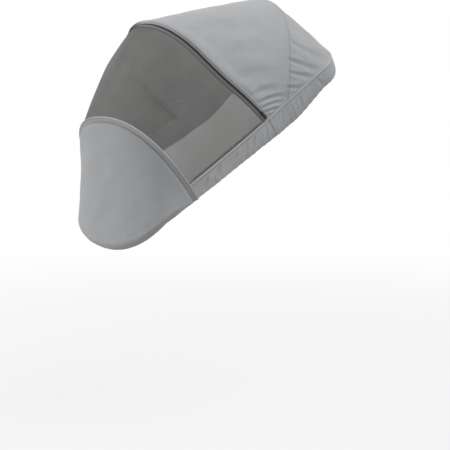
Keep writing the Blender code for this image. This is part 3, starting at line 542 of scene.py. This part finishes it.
def stitches(name, path, outward, material, sink=0.0):
    """A row of sewn stitches along a line: short arched threads that dive into the cloth at both ends."""
    along = lengths(path)
    count = int(along[-1] / STITCH_PITCH)
    starts = (np.arange(count) + 0.5) * along[-1] / count - STITCH_LENGTH / 2
    f = np.linspace(0.0, 1.0, 6)
    places = starts[:, None] + f[None] * STITCH_LENGTH
    centre = at_places(places, along, path)
    out = unit(at_places(places, along, outward))
    high = STITCH_R * 1.5 * np.sin(math.pi * f) ** 0.6 - sink - STITCH_R * 0.8
    centre = centre + out * high[None, :, None]
    tangent = unit(np.gradient(centre, axis=1))
    side = unit(np.cross(tangent, out))
    up = np.cross(side, tangent)
    thin = STITCH_R * np.array([0.45, 0.95, 1.0, 1.0, 0.95, 0.45])
    turns = 2 * math.pi * np.arange(6) / 6
    ring = centre[:, :, None] + (side[:, :, None] * np.cos(turns)[:, None]
                                 + up[:, :, None] * np.sin(turns)[:, None]) * thin[None, :, None, None]
    base = np.arange(count)[:, None, None] * 36
    i = np.arange(5)[None, :, None] * 6
    k = np.arange(6)[None, None]
    m = (k + 1) % 6
    faces = np.stack(np.broadcast_arrays(base + i + k, base + i + m, base + i + 6 + m, base + i + 6 + k),
                     axis=-1).reshape(-1, 4)
    caps = [base[:, :, 0] + ring_at + np.array(quad[::order]) for ring_at, order in ((0, 1), (30, -1))
            for quad in ([0, 5, 4, 1], [1, 4, 3, 2])]
    return new_object(name, to_row(ring.reshape(-1, 3)), np.concatenate([faces] + caps), material)


# Materials

class Nodes:
    """Short calls for the node tree of a material or a world."""

    def __init__(self, name, world=False):
        self.owner = (bpy.data.worlds if world else bpy.data.materials).new(name)
        self.owner.use_nodes = True
        self.tree = self.owner.node_tree

    def add(self, kind, inputs=(), **settings):
        node = self.tree.nodes.new(kind)
        for key, value in settings.items():
            setattr(node, key, value)
        for key, value in dict(inputs).items():
            self.put(node.inputs[key], value)
        return node

    def put(self, socket, value):
        if isinstance(value, bpy.types.NodeSocket):
            self.tree.links.new(value, socket)
        else:
            socket.default_value = value

    def math(self, operation, a, b=0.0):
        return self.add("ShaderNodeMath", {0: a, 1: b}, operation=operation).outputs[0]

    def mix(self, factor, a, b):
        return self.add("ShaderNodeMix", {0: factor, 6: a, 7: b}, data_type="RGBA").outputs[2]

    def ramp(self, value, low, high, to_low=0.0, to_high=1.0):
        return self.add("ShaderNodeMapRange", {0: value, 1: low, 2: high, 3: to_low, 4: to_high},
                        interpolation_type="SMOOTHSTEP").outputs[0]

    def noise(self, scale, detail, rough, place):
        inputs = {"Scale": scale, "Detail": detail, "Roughness": rough, "Vector": place}
        return self.add("ShaderNodeTexNoise", inputs).outputs["Fac"]

    def bump(self, height, distance, strength, below=None):
        inputs = {"Height": height, "Distance": distance, "Strength": strength}
        if below is not None:
            inputs["Normal"] = below
        return self.add("ShaderNodeBump", inputs).outputs[0]

    def seen(self):
        """One for what the camera sees straight, in a mirror or through a surface, otherwise nothing."""
        rays = self.add("ShaderNodeLightPath").outputs
        most = self.math("MAXIMUM", rays["Is Camera Ray"], rays["Is Glossy Ray"])
        return self.math("MAXIMUM", most, rays["Is Transmission Ray"])

    def object_place(self):
        return self.add("ShaderNodeTexCoord").outputs["Object"]

    def threads(self, pitch, skew=0.0):
        """Two crossing waves of the cloth's threads, from its own coordinates."""
        uv = self.add("ShaderNodeUVMap", uv_map="cloth").outputs[0]
        parts = self.add("ShaderNodeSeparateXYZ", {0: uv})
        u, v = parts.outputs[0], parts.outputs[1]
        if skew:
            u = self.math("ADD", u, self.math("MULTIPLY", v, skew))
        turn = 2 * math.pi / pitch
        return (self.math("SINE", self.math("MULTIPLY", u, turn)),
                self.math("SINE", self.math("MULTIPLY", v, turn)))

    def set(self, **values):
        shader = self.tree.nodes["Principled BSDF"]
        for key, value in values.items():
            self.put(shader.inputs[key.replace("_", " ")], value)
        return self.owner


def tint(colour, by=1.0):
    return (*(c * by for c in colour), 1.0)


def cloth_material(name, colour, pitch=0.0009, weave=0.00016, rough=0.86, sheen=0.18, skew=0.0,
                   crumple=0.0004, marked=0.34):
    """Woven cloth: crossing threads, flecked yarn and broad unevenness. The seam attribute darkens it:
    painted shade in sewn grooves and along stitching, and black patches.
    """
    m = Nodes(name)
    warp, weft = m.threads(pitch, skew)
    cross = m.math("MULTIPLY", warp, weft)
    place = m.object_place()
    fleck = m.noise(900.0, 3.0, 0.6, place)
    broad = m.ramp(m.noise(14.0, 3.0, 0.55, place), 0.3, 0.7, 0.978, 1.022)
    tone = m.math("ADD", broad, m.ramp(fleck, 0.3, 0.7, -0.07, 0.07))
    tone = m.math("ADD", tone, m.math("MULTIPLY", cross, 0.045))
    # Painted shade: the seam attribute darkens the colour in sewn grooves and along stitching, and turns
    # some patches black
    seam = m.add("ShaderNodeAttribute", attribute_name="seam").outputs["Fac"]
    tone = m.math("MULTIPLY", tone, m.math("SUBTRACT", 1.0, m.math("MULTIPLY", seam, marked)))
    scale = m.add("ShaderNodeVectorMath", {0: colour, 3: tone}, operation="SCALE")
    worn = m.ramp(m.noise(55.0, 4.0, 0.6, place), 0.55, 0.8)
    lighter = [c * 1.10 + 0.01 for c in colour]
    shade = m.mix(m.math("MULTIPLY", worn, 0.12), scale.outputs[0], tint(lighter))
    crumpled = m.bump(m.noise(70.0, 4.0, 0.6, place), crumple, 0.8)
    return m.set(Base_Color=shade, Roughness=m.ramp(fleck, 0.2, 0.8, rough - 0.06, rough + 0.06),
                 Sheen_Weight=sheen, Sheen_Roughness=0.45, Specular_IOR_Level=0.22,
                 Normal=m.bump(cross, weave, 0.7, crumpled))


def net_material(name, colour):
    """Fine mesh: yarn with a staggered field of small holes."""
    m = Nodes(name)
    warp, weft = m.threads(0.0030)
    cover = m.ramp(m.math("ABSOLUTE", m.math("MULTIPLY", warp, weft)), 0.52, 0.92, 1.0, 0.0)
    place = m.object_place()
    yarn = m.ramp(m.noise(1400.0, 2.0, 0.5, place), 0.3, 0.7)
    broad = m.ramp(m.noise(18.0, 3.0, 0.5, place), 0.35, 0.7, 0.0, 0.35)
    tone = m.mix(broad, m.mix(yarn, tint(colour, 0.75), tint(colour, 1.25)), tint(colour, 1.3))
    return m.set(Base_Color=tone, Roughness=0.8, Specular_IOR_Level=0.2, Sheen_Weight=0.1,
                 Alpha=cover, Normal=m.bump(cover, 0.00012, 0.6))


def thread_material(name, colour):
    m = Nodes(name)
    twist = m.noise(2600.0, 2.0, 0.5, m.object_place())
    tone = m.mix(m.ramp(twist, 0.3, 0.7), tint(colour, 0.8), tint(colour, 1.15))
    return m.set(Base_Color=tone, Roughness=0.6, Sheen_Weight=0.2, Specular_IOR_Level=0.3,
                 Normal=m.bump(twist, 0.00005, 0.6))


def nylon_material(name, colour):
    m = Nodes(name)
    haze = m.noise(300.0, 3.0, 0.6, m.object_place())
    tone = m.mix(m.ramp(haze, 0.3, 0.75), tint(colour), tint(colour, 1.7))
    return m.set(Base_Color=tone, Roughness=m.ramp(haze, 0.2, 0.8, 0.34, 0.52), Specular_IOR_Level=0.5,
                 Normal=m.bump(haze, 0.00003, 0.5))


def metal_material(name, colour):
    """Black painted zip metal, a little worn where it rubs."""
    m = Nodes(name)
    place = m.object_place()
    wear = m.ramp(m.noise(700.0, 5.0, 0.65, place), 0.58, 0.72)
    edge = m.add("ShaderNodeNewGeometry").outputs["Pointiness"]
    rub = m.math("MULTIPLY", m.ramp(edge, 0.50, 0.62), wear)
    grain = m.noise(2200.0, 2.0, 0.5, place)
    return m.set(Base_Color=m.mix(rub, tint(colour), (0.13, 0.128, 0.124, 1)),
                 Metallic=m.ramp(rub, 0.0, 1.0, 0.35, 1.0),
                 Roughness=m.ramp(grain, 0.2, 0.8, 0.30, 0.46), Normal=m.bump(grain, 0.00003, 0.5))


GREY = cloth_material("stretch_cloth", (0.352, 0.358, 0.368))
TRIM = cloth_material("hem_cloth", (0.345, 0.351, 0.361), pitch=0.0008, crumple=0.0003)
PIPE = cloth_material("piping_cloth", (0.42, 0.425, 0.435), pitch=0.0006, weave=0.0001, skew=1.0,
                      crumple=0.00015, sheen=0.25)
MESH = net_material("fine_net", (0.132, 0.132, 0.127))
STRIP = cloth_material("net_binding_cloth", (0.150, 0.152, 0.153), pitch=0.0007, crumple=0.0002)
ZIP_TAPE = cloth_material("zip_tape_cloth", (0.170, 0.173, 0.178), pitch=0.0006, weave=0.0002, skew=1.0,
                          rough=0.8, sheen=0.1, crumple=0.0001, marked=0.92)
COIL = nylon_material("coil_nylon", (0.026, 0.026, 0.027))
METAL = metal_material("painted_metal", (0.020, 0.020, 0.021))
ELASTIC = cloth_material("braided_elastic", (0.52, 0.52, 0.52), weave=0.0003, skew=1.0, crumple=0.0001)
THREAD = thread_material("sewing_thread", (0.38, 0.385, 0.395))
DARK_THREAD = thread_material("dark_thread", (0.05, 0.05, 0.05))


# Surface

net = net_rows()
front, seam_row, rear = hood_rows()
rows = np.array(net + front + [seam_row] + rear)
ZIP_NET = len(net) - 1
ZIP_HOOD = len(net)
SEAM_AT = len(net) + len(front)

# At the sides the arched seam moves forward, and the rows before and behind it follow
across = lengths(rows[SEAM_AT])
forward = SEAM_FORWARD * (1 - smooth_step(np.minimum(across, across[-1] - across), 0.10, 0.26))
for column in range(COLUMNS + 1):
    line = rows[ZIP_HOOD:, column].copy()
    along = lengths(line)
    at = along[SEAM_AT - ZIP_HOOD]
    start = along[EDGE_ROWS]
    before = start + (along - start) * (at - forward[column] - start) / (at - start)
    after = along[-1] - (along[-1] - along) * (along[-1] - at + forward[column]) / (along[-1] - at)
    wanted = np.where(along <= start, along, np.where(along <= at, before, after))
    rows[ZIP_HOOD:, column] = at_places(wanted, along, line)
normals = row_normals(rows)

row_at = np.arange(len(rows))[:, None]
hood = row_at >= ZIP_HOOD
is_front = hood & (row_at <= SEAM_AT)
is_rear = hood & ~is_front
down = lengths(rows)
past_seam = down - down[SEAM_AT]
from_seam = np.abs(past_seam)
from_hood_edge = down - down[ZIP_HOOD]
to_end = down[-1] - down
across = lengths(rows, 1)
from_base = np.minimum(across, across[:, -1:] - across)

# Folds and waves
free = smooth_step(from_base, 0.0, 0.010) * smooth_step(from_hood_edge, 0.0115, 0.020)
free *= smooth_step(from_base, 0.0, 0.010) * smooth_step(to_end, 0.0, 0.012) * hood
near_fold = smooth_step(from_hood_edge, 0.0, 0.006) * smooth_step(from_base, 0.0, 0.004)
near_seam = smooth_step(past_seam, -0.020, 0.004) * smooth_step(from_base, 0.0, 0.006)
move = both_sides(rows, HOOD_CREASES) * near_fold * is_front
move += both_sides(rows, SOFT_CREASES) * free
move += both_sides(rows, REAR_CREASES, bow=-0.03) * near_seam * (is_rear | is_front & (from_seam < 0.03))
move += wave(rows, 7, 0.085) * 0.0007 * free
move += wave(rows, 11, 0.034) * 0.00025 * free

# The arched seam's groove and the puffed cloth beside it, the hood's stitched edge and its lip
groove = bell(from_seam, *SEAM_GROOVE) * hood
puff = bell(from_seam, *SEAM_PUFF) * hood
move += puff * SEAM_PUFF_HEIGHT - groove * SEAM_GROOVE_DEPTH
stitched = bell(from_hood_edge, *EDGE_GROOVE) * is_front
place_on_arch = np.arange(COLUMNS + 1) / COLUMNS
window = np.hanning(LIP_SMOOTHING) / np.hanning(LIP_SMOOTHING).sum()
lip = np.pad(np.interp(place_on_arch, *LIP.T), LIP_SMOOTHING // 2, mode="edge")
lip = np.convolve(lip, window, mode="valid") * hill(from_hood_edge, *LIP_ROLL)
move += (lip - EDGE_GROOVE_DEPTH * stitched) * is_front

# The flatter rear panel and the net's slight waves
flat_rear = smooth_step(past_seam, 0.0, 0.05) * smooth_step(to_end, 0.0, 0.05)
move -= 0.0045 * flat_rear * smooth_step(from_base, 0.10, 0.22) * is_rear
net_free = hill(row_at, 0, 4, ZIP_NET - 8, ZIP_NET - 3) * smooth_step(from_base, 0.0, 0.02)
move += wave(rows, 3, 0.10) * 0.0008 * net_free * ~hood
rows = rows + normals * move[..., None]
normals = row_normals(rows)
# Painted shade: the hood's colour darkens in the arched seam's groove and in the stitched edge's groove.
# Over the crown the lip's front is also painted black.
groove_shade_and_black = np.clip(0.55 * groove + 0.6 * stitched, 0, 1)
black = 2.6 * hill(place_on_arch, *LIP_BLACK) * (1 - smooth_step(from_hood_edge, 0.0040, 0.0056))
groove_shade_and_black = np.maximum(groove_shade_and_black, black * is_front)


def drawn_in(line, beside_it):
    """A line moved by half a seam's gap towards the one beside it."""
    return line + unit(beside_it - line) * HALF_GAP


def add_cloth(name, grid, normals, mark):
    cloths[name] = shell(name + "_cloth", grid, normals, 0.0, FABRIC, GREY, mark)


cloths = {}
cloths["net"] = shell("net_cloth", rows[:ZIP_NET + 1], normals[:ZIP_NET + 1], *NET_FACES, MESH)
before = rows[ZIP_HOOD:SEAM_AT + 1].copy()
before[-1] = drawn_in(before[-1], before[-2])
behind = rows[SEAM_AT:].copy()
behind[0] = drawn_in(behind[0], behind[1])
add_cloth("hood_front", before, normals[ZIP_HOOD:SEAM_AT + 1], groove_shade_and_black[ZIP_HOOD:SEAM_AT + 1])
add_cloth("hood_rear", behind, normals[SEAM_AT:], groove_shade_and_black[SEAM_AT:])

# Foot cover
boot = boot_rows()
boot_normals = boot_out(boot)
path, rim_beside, rim_outward = rim_frames()
flat = boot.reshape(-1, 3)
from_rim = np.full(len(flat), 1.0)
for place in (path - rim_beside * BOOT_EDGE)[::2]:
    from_rim = np.minimum(from_rim, np.linalg.norm(flat - place, axis=1))
from_rim = from_rim.reshape(boot.shape[:2])
boot_down = lengths(boot)
gather = ripple(boot[..., 1], 0.019, 1.3, 31, boot[..., 2] * 160)
move = 0.0016 * smooth_step(from_rim, 0.0005, 0.007) * bell(from_rim, 0.007, 0.030)
move += 0.00028 * gather * smooth_step(from_rim, 0.0, 0.004) * np.exp(-from_rim / 0.010)
move += wave(boot, 21, 0.16) * 0.0009 * smooth_step(from_rim, 0.004, 0.05)
move += wave(boot, 22, 0.05) * 0.00025 * smooth_step(from_rim, 0.004, 0.03)
move += 0.00012 * ripple(lengths(boot[0]), 0.013, 2.0, 40) * np.exp(-boot_down / 0.008)
boot = boot + boot_normals * move[..., None]
boot_normals = boot_out(boot)
boot_normals[-1] = unit(rim_outward)
boot_normals[:, 0], boot_normals[:, -1] = boot_normals[-1, 0], boot_normals[-1, -1]
# Painted shade: the foot cover's colour darkens along its seam under the rim's hem.
add_cloth("boot", boot, boot_normals, bell(from_rim, 0.0, 0.0014))
join_points(cloths["boot"])

# Rolled hem along the rim: a raised edge and a flatter stitched strip, its corners in millimetres
ROLL = np.array([
    (-14.35, -2.6), (-13.4, -1.8), (-11.5, -0.7), (-9, 0.6), (-7, 1.5), (-5.7, 2), (-4.8, 3.1),
    (-3.6, 4.7), (-1.8, 5.3), (-0.1, 3.9), (0.7, 1.2), (0.2, -1.4), (-1.6, -3.1), (-4.5, -3.9),
    (-8, -4.1), (-11.2, -3.9), (-13.5, -3.4),
]) / 1000


def rounded(corners, count):
    """A smooth closed line through a profile's corners."""
    size = len(corners)
    t = np.arange(count) * size / count
    i = np.floor(t).astype(int)
    f = (t - i)[:, None]
    p = [corners[(i + k) % size] for k in (-1, 0, 1, 2)]
    return 0.5 * (2 * p[1] + (p[2] - p[0]) * f + (2 * p[0] - 5 * p[1] + 4 * p[2] - p[3]) * f ** 2
                  + (3 * p[1] - p[0] - 3 * p[2] + p[3]) * f ** 3)


roll = rounded(ROLL, 48)
rim_along = lengths(path)
pucker = 0.10 * ripple(rim_along, 0.012, 1.7, 37) + 0.06 * ripple(rim_along, 0.031, start=0.7)
swell = np.stack([np.ones_like(pucker), 1 + pucker * 0.5], axis=-1)[:, None]
middle = roll.mean(axis=0)
hole = middle + (roll - middle) * [0.82, 0.62]
rim_piece = sweep("rim_hem", path, rim_beside, rim_outward, roll * swell, TRIM, hole=hole)
rim_elastic = sweep("rim_elastic", path, rim_beside, rim_outward,
                    ring_profile(RIM_ELASTIC_R, 14) * [1.3, 0.8] + [-0.0052, 0.0], ELASTIC)

# Bands
top_edge = np.concatenate([rows[:-1, 0], rows[-1], rows[:-1, -1][::-1]]) - [0.0, 0.0, BASE_GAP]
top_edge = resample(top_edge, EDGE_POINTS)
top_out = facing(top_edge)
s = top_edge[:, 0]
run = np.clip((s - RIM_S) / (BAND_DEEPEST_S - RIM_S), 0.0, 1.0) ** BAND_DEPTH_CURVE
depth = BAND_DEPTH_FOOT + (BAND_DEPTH_DEEPEST - BAND_DEPTH_FOOT) * run
depth += (BAND_DEPTH_HEAD - BAND_DEPTH_DEEPEST) * smooth_step(s, BAND_DEEPEST_S, TURN_S)
tuck = HEM_TUCK * smooth_step(s, HEM_TUCK_FROM_S, HEM_TUCK_FULL_S)
edge_along = lengths(top_edge)


def band_out(grid):
    normals = row_normals(grid)
    return normals * np.sign(np.sum(normals[0, 0] * (top_edge[0] - top_edge.mean(axis=0))))


band = []
for f in np.linspace(0.0, 1.0, BAND_ROWS):
    fall = 0.0012 + (depth - 0.0012) * f
    row = top_edge - top_out * (tuck * f ** 3)[:, None]
    band.append(row - np.outer(fall, [0.0, 0.0, 1.0]))
band = np.array(band)
band_normals = band_out(band)
fall = top_edge[:, 2] - band[..., 2]
to_hem = depth - fall
groove = bell(fall, *BAND_GROOVE)
inner_fall = smooth_step(fall, 0.007, 0.016)
move = both_sides(band, BAND_CREASES) * inner_fall
move += 0.0007 * bell(fall, 0.0040, 0.0026) - BAND_GROOVE_DEPTH * groove
move += 0.0006 * bell(fall, 0.0110, 0.0035)
move += 0.0005 * ripple(edge_along, 0.021, 2.2, 19, 0.5) * inner_fall * np.exp(-to_hem / 0.022)
move += 0.00010 * ripple(edge_along, 0.011, 1.6, 33) * np.exp(-to_hem / 0.008)
move += wave(band, 31, 0.06) * 0.0005 * inner_fall
band = band + band_normals * move[..., None]
band_normals = band_out(band)
last = len(top_edge) - 1
near_cut = int(np.argmax(top_edge[:, 0] >= ZIP_S + PANEL_EDGE))
far_cut = last - near_cut
from_cut = np.minimum(np.abs(edge_along - edge_along[near_cut]), np.abs(edge_along - edge_along[far_cut]))
# Painted shade: the band's colour darkens in the groove under the piping and along the seams at its cuts.
band_groove_shade = np.clip(groove + bell(from_cut, *SEAM_GROOVE), 0, 1)
for name, a, b in (("left", 0, near_cut), ("rear", near_cut, far_cut), ("right", far_cut, last)):
    part = band[:, a:b + 1].copy()
    if a:
        part[:, 0] = drawn_in(part[:, 0], part[:, 1])
    if b < last:
        part[:, -1] = drawn_in(part[:, -1], part[:, -2])
    add_cloth("band_" + name, part, band_normals[:, a:b + 1], band_groove_shade[:, a:b + 1])

upright = np.tile([0.0, 0.0, 1.0], (len(top_edge), 1))
piping = sweep("piping_cord", top_edge, upright, top_out, ring_profile(CORD_R, 16, CORD_LIFT), PIPE)
piping_flange = shell("piping_flange", [top_edge + upright * d for d in FLANGE_PLACES], top_out,
                      *FLANGE_FACES, PIPE)

# Folded channel round the hem, its corners in millimetres, and its elastic
hem_path = np.concatenate([band[-1], boot[0][::-1]])
hem_out = np.concatenate([band_normals[-1], boot_normals[0][::-1]])
boot_up = boot[1] - boot[0]
boot_up[:3], boot_up[-3:] = boot_up[3], boot_up[-4]
hem_in = np.concatenate([unit(band[-2] - band[-1]), unit(boot_up)[::-1]])
hem_path = hem_path - hem_out * (FABRIC + 0.0002)
steps = np.linalg.norm(np.diff(hem_path, axis=0, append=hem_path[:1]), axis=1)
keep = steps > 1e-5
hem_path, hem_out, hem_in = hem_path[keep], hem_out[keep], hem_in[keep]
hem_in = unit(hem_in - hem_out * np.sum(hem_in * hem_out, axis=1, keepdims=True))
FOLD = np.array([
    (9, 0), (6, 0), (3, 0), (0.6, -0.2), (-0.6, -1.2), (-1, -2.4), (-0.4, -3.8),
    (0.8, -4.7), (3, -5), (6, -4.8), (9, -4.4), (9.1, -3.7), (6, -4.1), (3.2, -4.3),
    (1.4, -4), (0.4, -3.2), (0.1, -2.4), (0.5, -1.4), (1.4, -0.8), (3.2, -0.7), (6, -0.7),
    (9, -0.7),
]) / 1000
hem_fold = sweep("hem_fold", hem_path, hem_in, hem_out, FOLD, TRIM, closed=True, sharp=60.0)
hem_elastic = sweep("hem_elastic_cord", hem_path, hem_in, hem_out,
                    ring_profile(HEM_ELASTIC_R, 12) + [0.0026, -0.0025], ELASTIC, closed=True)

# Zip
tape_out = zip_line(0.0, ZIP_POINTS)[2]
zip_pieces = []
for side, sign in (("hood", 1.0), ("net", -1.0)):
    strip, dark = [], []
    for x in (*TAPE_PLACES, TAPE_EDGE):
        places, points, _ = zip_line(sign * x, ZIP_POINTS)
        strip.append(points)
        bare = 0.0024 + 0.0110 * hill(places / ZIP_LENGTH, *TAPE_BLACK)
        dark.append(1 - smooth_step(x, bare - 0.0006, bare))
    zip_pieces.append(shell("zip_tape_cloth_" + side, strip, tape_out, *TAPE_FACES, ZIP_TAPE, dark))
    turns = int((ZIP_LENGTH - 2 * COIL_START) / COIL_PITCH)
    t = np.arange(turns * COIL_STEPS + 1) / COIL_STEPS
    places, beside, out = zip_frames(COIL_START + t * COIL_PITCH)
    angle = 2 * math.pi * t + (0.0 if sign > 0 else math.pi)
    reach = np.cos(angle)
    mid = COIL_SLOT / 2 + COIL_WIDTH / 2 - 0.00025
    aside = sign * (mid + reach * (COIL_WIDTH / 2 + 0.00005))
    high = COIL_ABOVE - (COIL_ABOVE + FABRIC) / 2 * (1 - 0.72 * np.sin(angle))
    line = places + beside * aside[:, None] + out * high[:, None]
    tangent = unit(np.gradient(line, axis=0))
    ring_out = unit(beside * (sign * reach)[:, None] + out * np.sin(angle)[:, None])
    ring_side = unit(np.cross(tangent, ring_out))
    zip_pieces.append(sweep("zip_coil_" + side + "_wire", line, ring_side, np.cross(ring_side, tangent),
                            ring_profile(COIL_WIRE_R, 6), COIL, sharp=70.0))

# Grey strip on the net beside the zip
strip_rows = []
share = np.linspace(0.0, 1.0, STRIP_ROWS)
for f in share:
    _, points, out = zip_line(-(STRIP_EDGE + (NET_BINDING_START - STRIP_EDGE) * f), ZIP_POINTS)
    strip_rows.append(points + out * 0.00025 * math.sin(math.pi * f) ** 0.5)
black = 2.7 * hill(np.linspace(0.0, 1.0, ZIP_POINTS), *STRIP_BLACK)
# Painted shade: the strip's colour darkens along its two stitch lines. Over the crown it is also painted
# black.
mark = bell(share, 0.16, 0.10) + bell(share, 0.86, 0.10)
mark = np.maximum(mark[:, None], black * (1 - smooth_step(share, 0.70, 0.95))[:, None])
net_strip = shell("net_strip_cloth", strip_rows, tape_out, -GAP - TAPE * 0.6, -0.0001, STRIP, mark)


# Bindings inside the seams
def beside_seam(d, step):
    """The arched seam's line moved by a distance, towards a row some steps away on that side."""
    towards = rows[SEAM_AT - step] if d < 0 else rows[SEAM_AT + step]
    return rows[SEAM_AT] + unit(towards - rows[SEAM_AT]) * abs(d)


places = np.linspace(-SEAM_TAPE_WIDTH / 2, SEAM_TAPE_WIDTH / 2, STRIP_ROWS)
seam_tape = shell("hood_seam_tape_cloth", [beside_seam(d, 3) for d in places], normals[SEAM_AT],
                  *TAPE_FACES, TRIM)
base_tapes = []
low = slice(2, ZIP_NET - 4)
for side, edge, inner, further in (("left", 0, 1, 3), ("right", -1, -2, -4)):
    base = rows[low, edge]
    away = unit(rows[low, further] - base)
    grid = [base + away * d for d in np.linspace(0.0, BASE_TAPE_WIDTH / 2, BASE_TAPE_ROWS)]
    base_tapes.append(shell("net_base_tape_cloth_" + side, grid, normals[low, inner],
                            *BASE_TAPE_FACES, TRIM))
seam_tapes = []
wide = int(round(BASE_TAPE_WIDTH / 2 / edge_along[1]))
for side, column in (("left", near_cut), ("right", far_cut)):
    part = (slice(0, SEAM_TAPE_ROWS), slice(column - wide, column + wide + 1))
    seam_tapes.append(shell("band_seam_tape_cloth_" + side, band[part], band_normals[part],
                            *TAPE_FACES, TRIM))

# Stitches
thread = []


def sew(name, path, outward, material=THREAD, sink=0.0):
    thread.append(stitches("stitches_" + name, path, outward, material, sink))


def nearest(values, wanted):
    return int(np.argmin(np.abs(values - wanted)))


for name, d in (("hood_edge", 0.0100), ("hood_zip", 0.0022)):
    row = nearest(from_hood_edge[ZIP_HOOD:SEAM_AT, HALF], d) + ZIP_HOOD
    sew(name, rows[row], normals[row])
for name, d in (("bow_front", -0.0026), ("bow_rear", 0.0026)):
    sew(name, beside_seam(d, 2), normals[SEAM_AT], sink=-0.0003)
row = nearest(fall[:, last // 2], BAND_GROOVE[0])
sew("band", band[row], band_normals[row])
sew("rim", path - rim_beside * 0.0126 + rim_outward * 0.0008, rim_outward)
sew("hem", band[-6], band_normals[-6])
row = nearest(boot_down[:, HALF], 0.008)
sew("boot_hem", boot[row], boot_normals[row])
for name, d in (("strip_outer", 0.0112), ("strip_inner", 0.0060)):
    _, points, out = zip_line(-d, ZIP_POINTS)
    sew(name, points, out, DARK_THREAD, -0.00085)

# What stands for what
stand_in = {
    "net": [(cloths["net"], "net_window")],
    "fabric": [(cloths["hood_front"], "hood_front_panel"), (cloths["hood_rear"], "hood_rear_panel"),
               (cloths["boot"], "boot_panel"), (cloths["band_left"], "band_front_left"),
               (cloths["band_right"], "band_front_right"), (cloths["band_rear"], "band_rear")],
    "piping": [(piping, "band_piping"), (piping_flange, "band_piping")],
    "binding": [(rim_piece, "boot_rim_binding"), (hem_fold, "hem_channel"), (net_strip, "net_zip_binding"),
                (seam_tape, "hood_seam_tape"),
                (base_tapes[0], "net_base_tape_left"), (base_tapes[1], "net_base_tape_right"),
                (seam_tapes[0], "band_seam_tape_left"), (seam_tapes[1], "band_seam_tape_right")],
    "elastic": [(rim_elastic, "boot_rim_elastic"), (hem_elastic, "hem_elastic")],
    "tape": [(zip_pieces[0], "zip_tape_hood"), (zip_pieces[2], "zip_tape_net")],
    "coil": [(zip_pieces[1], "zip_coil_hood"), (zip_pieces[3], "zip_coil_net")],
}
for slot, pairs in stand_in.items():
    for piece, node in pairs:
        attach(piece, "cover")
        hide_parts(node)
for piece in thread:
    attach(piece, "cover")
for name in ("zip_slider_body", "zip_pull_tab", "zip_stop_left", "zip_stop_right"):
    for place in bpy.data.objects[name].material_slots:
        place.material = METAL


def declare(piece):
    """Reads the area of each face of a piece, and does nothing more with them."""
    areas = np.zeros(len(piece.data.polygons))
    piece.data.polygons.foreach_get("area", areas)


declare(cloths["net"])
declare(cloths["hood_front"])
declare(cloths["hood_rear"])
declare(cloths["boot"])
for name in ("band_left", "band_right"):
    declare(cloths[name])
declare(cloths["band_rear"])

# Floor, light and camera. The floor is white to the camera and grey to the light that falls on it.
FLOOR_Z, FLOOR_R, FLOOR_SIDES = -0.756, 30.0, 96

corners = 2 * math.pi * np.arange(FLOOR_SIDES) / FLOOR_SIDES
mesh = bpy.data.meshes.new("floor")
mesh.from_pydata([(FLOOR_R * math.cos(t), FLOOR_R * math.sin(t), FLOOR_Z) for t in corners], [],
                 [range(FLOOR_SIDES)])
floor = placed("floor", mesh)
f = Nodes("floor_paint")
paint = f.add("ShaderNodeBsdfDiffuse", {"Color": (0.50, 0.50, 0.50, 1)})
glow = f.add("ShaderNodeEmission", {"Color": (1, 1, 1, 1), "Strength": 1.0})
far = f.add("ShaderNodeVectorMath", {0: f.object_place()}, operation="LENGTH").outputs["Value"]
white = f.math("MULTIPLY", f.seen(), f.ramp(far, 1.0, 4.0, 0.80, 1.0))
mixer = f.add("ShaderNodeMixShader", {0: white, 1: paint.outputs[0], 2: glow.outputs[0]})
f.put(f.tree.nodes["Material Output"].inputs["Surface"], mixer.outputs[0])
mesh.materials.append(f.owner)

world = Nodes("studio", world=True)
bpy.context.scene.world = world.owner
back = world.tree.nodes["Background"].inputs
world.put(back["Color"], (1, 1, 1, 1))
world.put(back["Strength"], world.ramp(world.seen(), 0.0, 1.0, 0.66, 1.0))


def lamp(name, place, target, size, power):
    data = bpy.data.lights.new(name, "AREA")
    data.shape = "DISK"
    data.size = size
    data.energy = power
    obj = placed(name, data)
    line = np.array(target, float) - np.array(place, float)
    tilt = math.atan2(math.hypot(line[0], line[1]), -line[2])
    obj.location = place
    obj.rotation_euler = (tilt, 0.0, math.atan2(line[1], line[0]) - math.pi / 2)
    return obj


lamp("key", (-2.4, 2.3, 1.2), (0.0, 0.0, 0.05), 1.8, 66.0)
lamp("top", (0.6, -1.6, 3.0), (0.0, 0.0, 0.1), 2.4, 70.0)
# Stands for the light that is thrown back inside the cover
inner = lamp("inner", (-0.03, 0.0, -0.03), (0.08, 0.0, 0.30), 0.2, 0.55)
inner.visible_camera = False

data = bpy.data.cameras.new("camera")
data.sensor_width = 36.0
data.lens = 83.36
camera = placed("camera", data)
camera.location = (-1.65895, -2.4108, 0.08049)
camera.rotation_euler = (math.radians(90 - 5.976), 0.0, math.radians(-35.21))
bpy.context.scene.camera = camera
bpy.context.scene.view_settings.view_transform = "Standard"
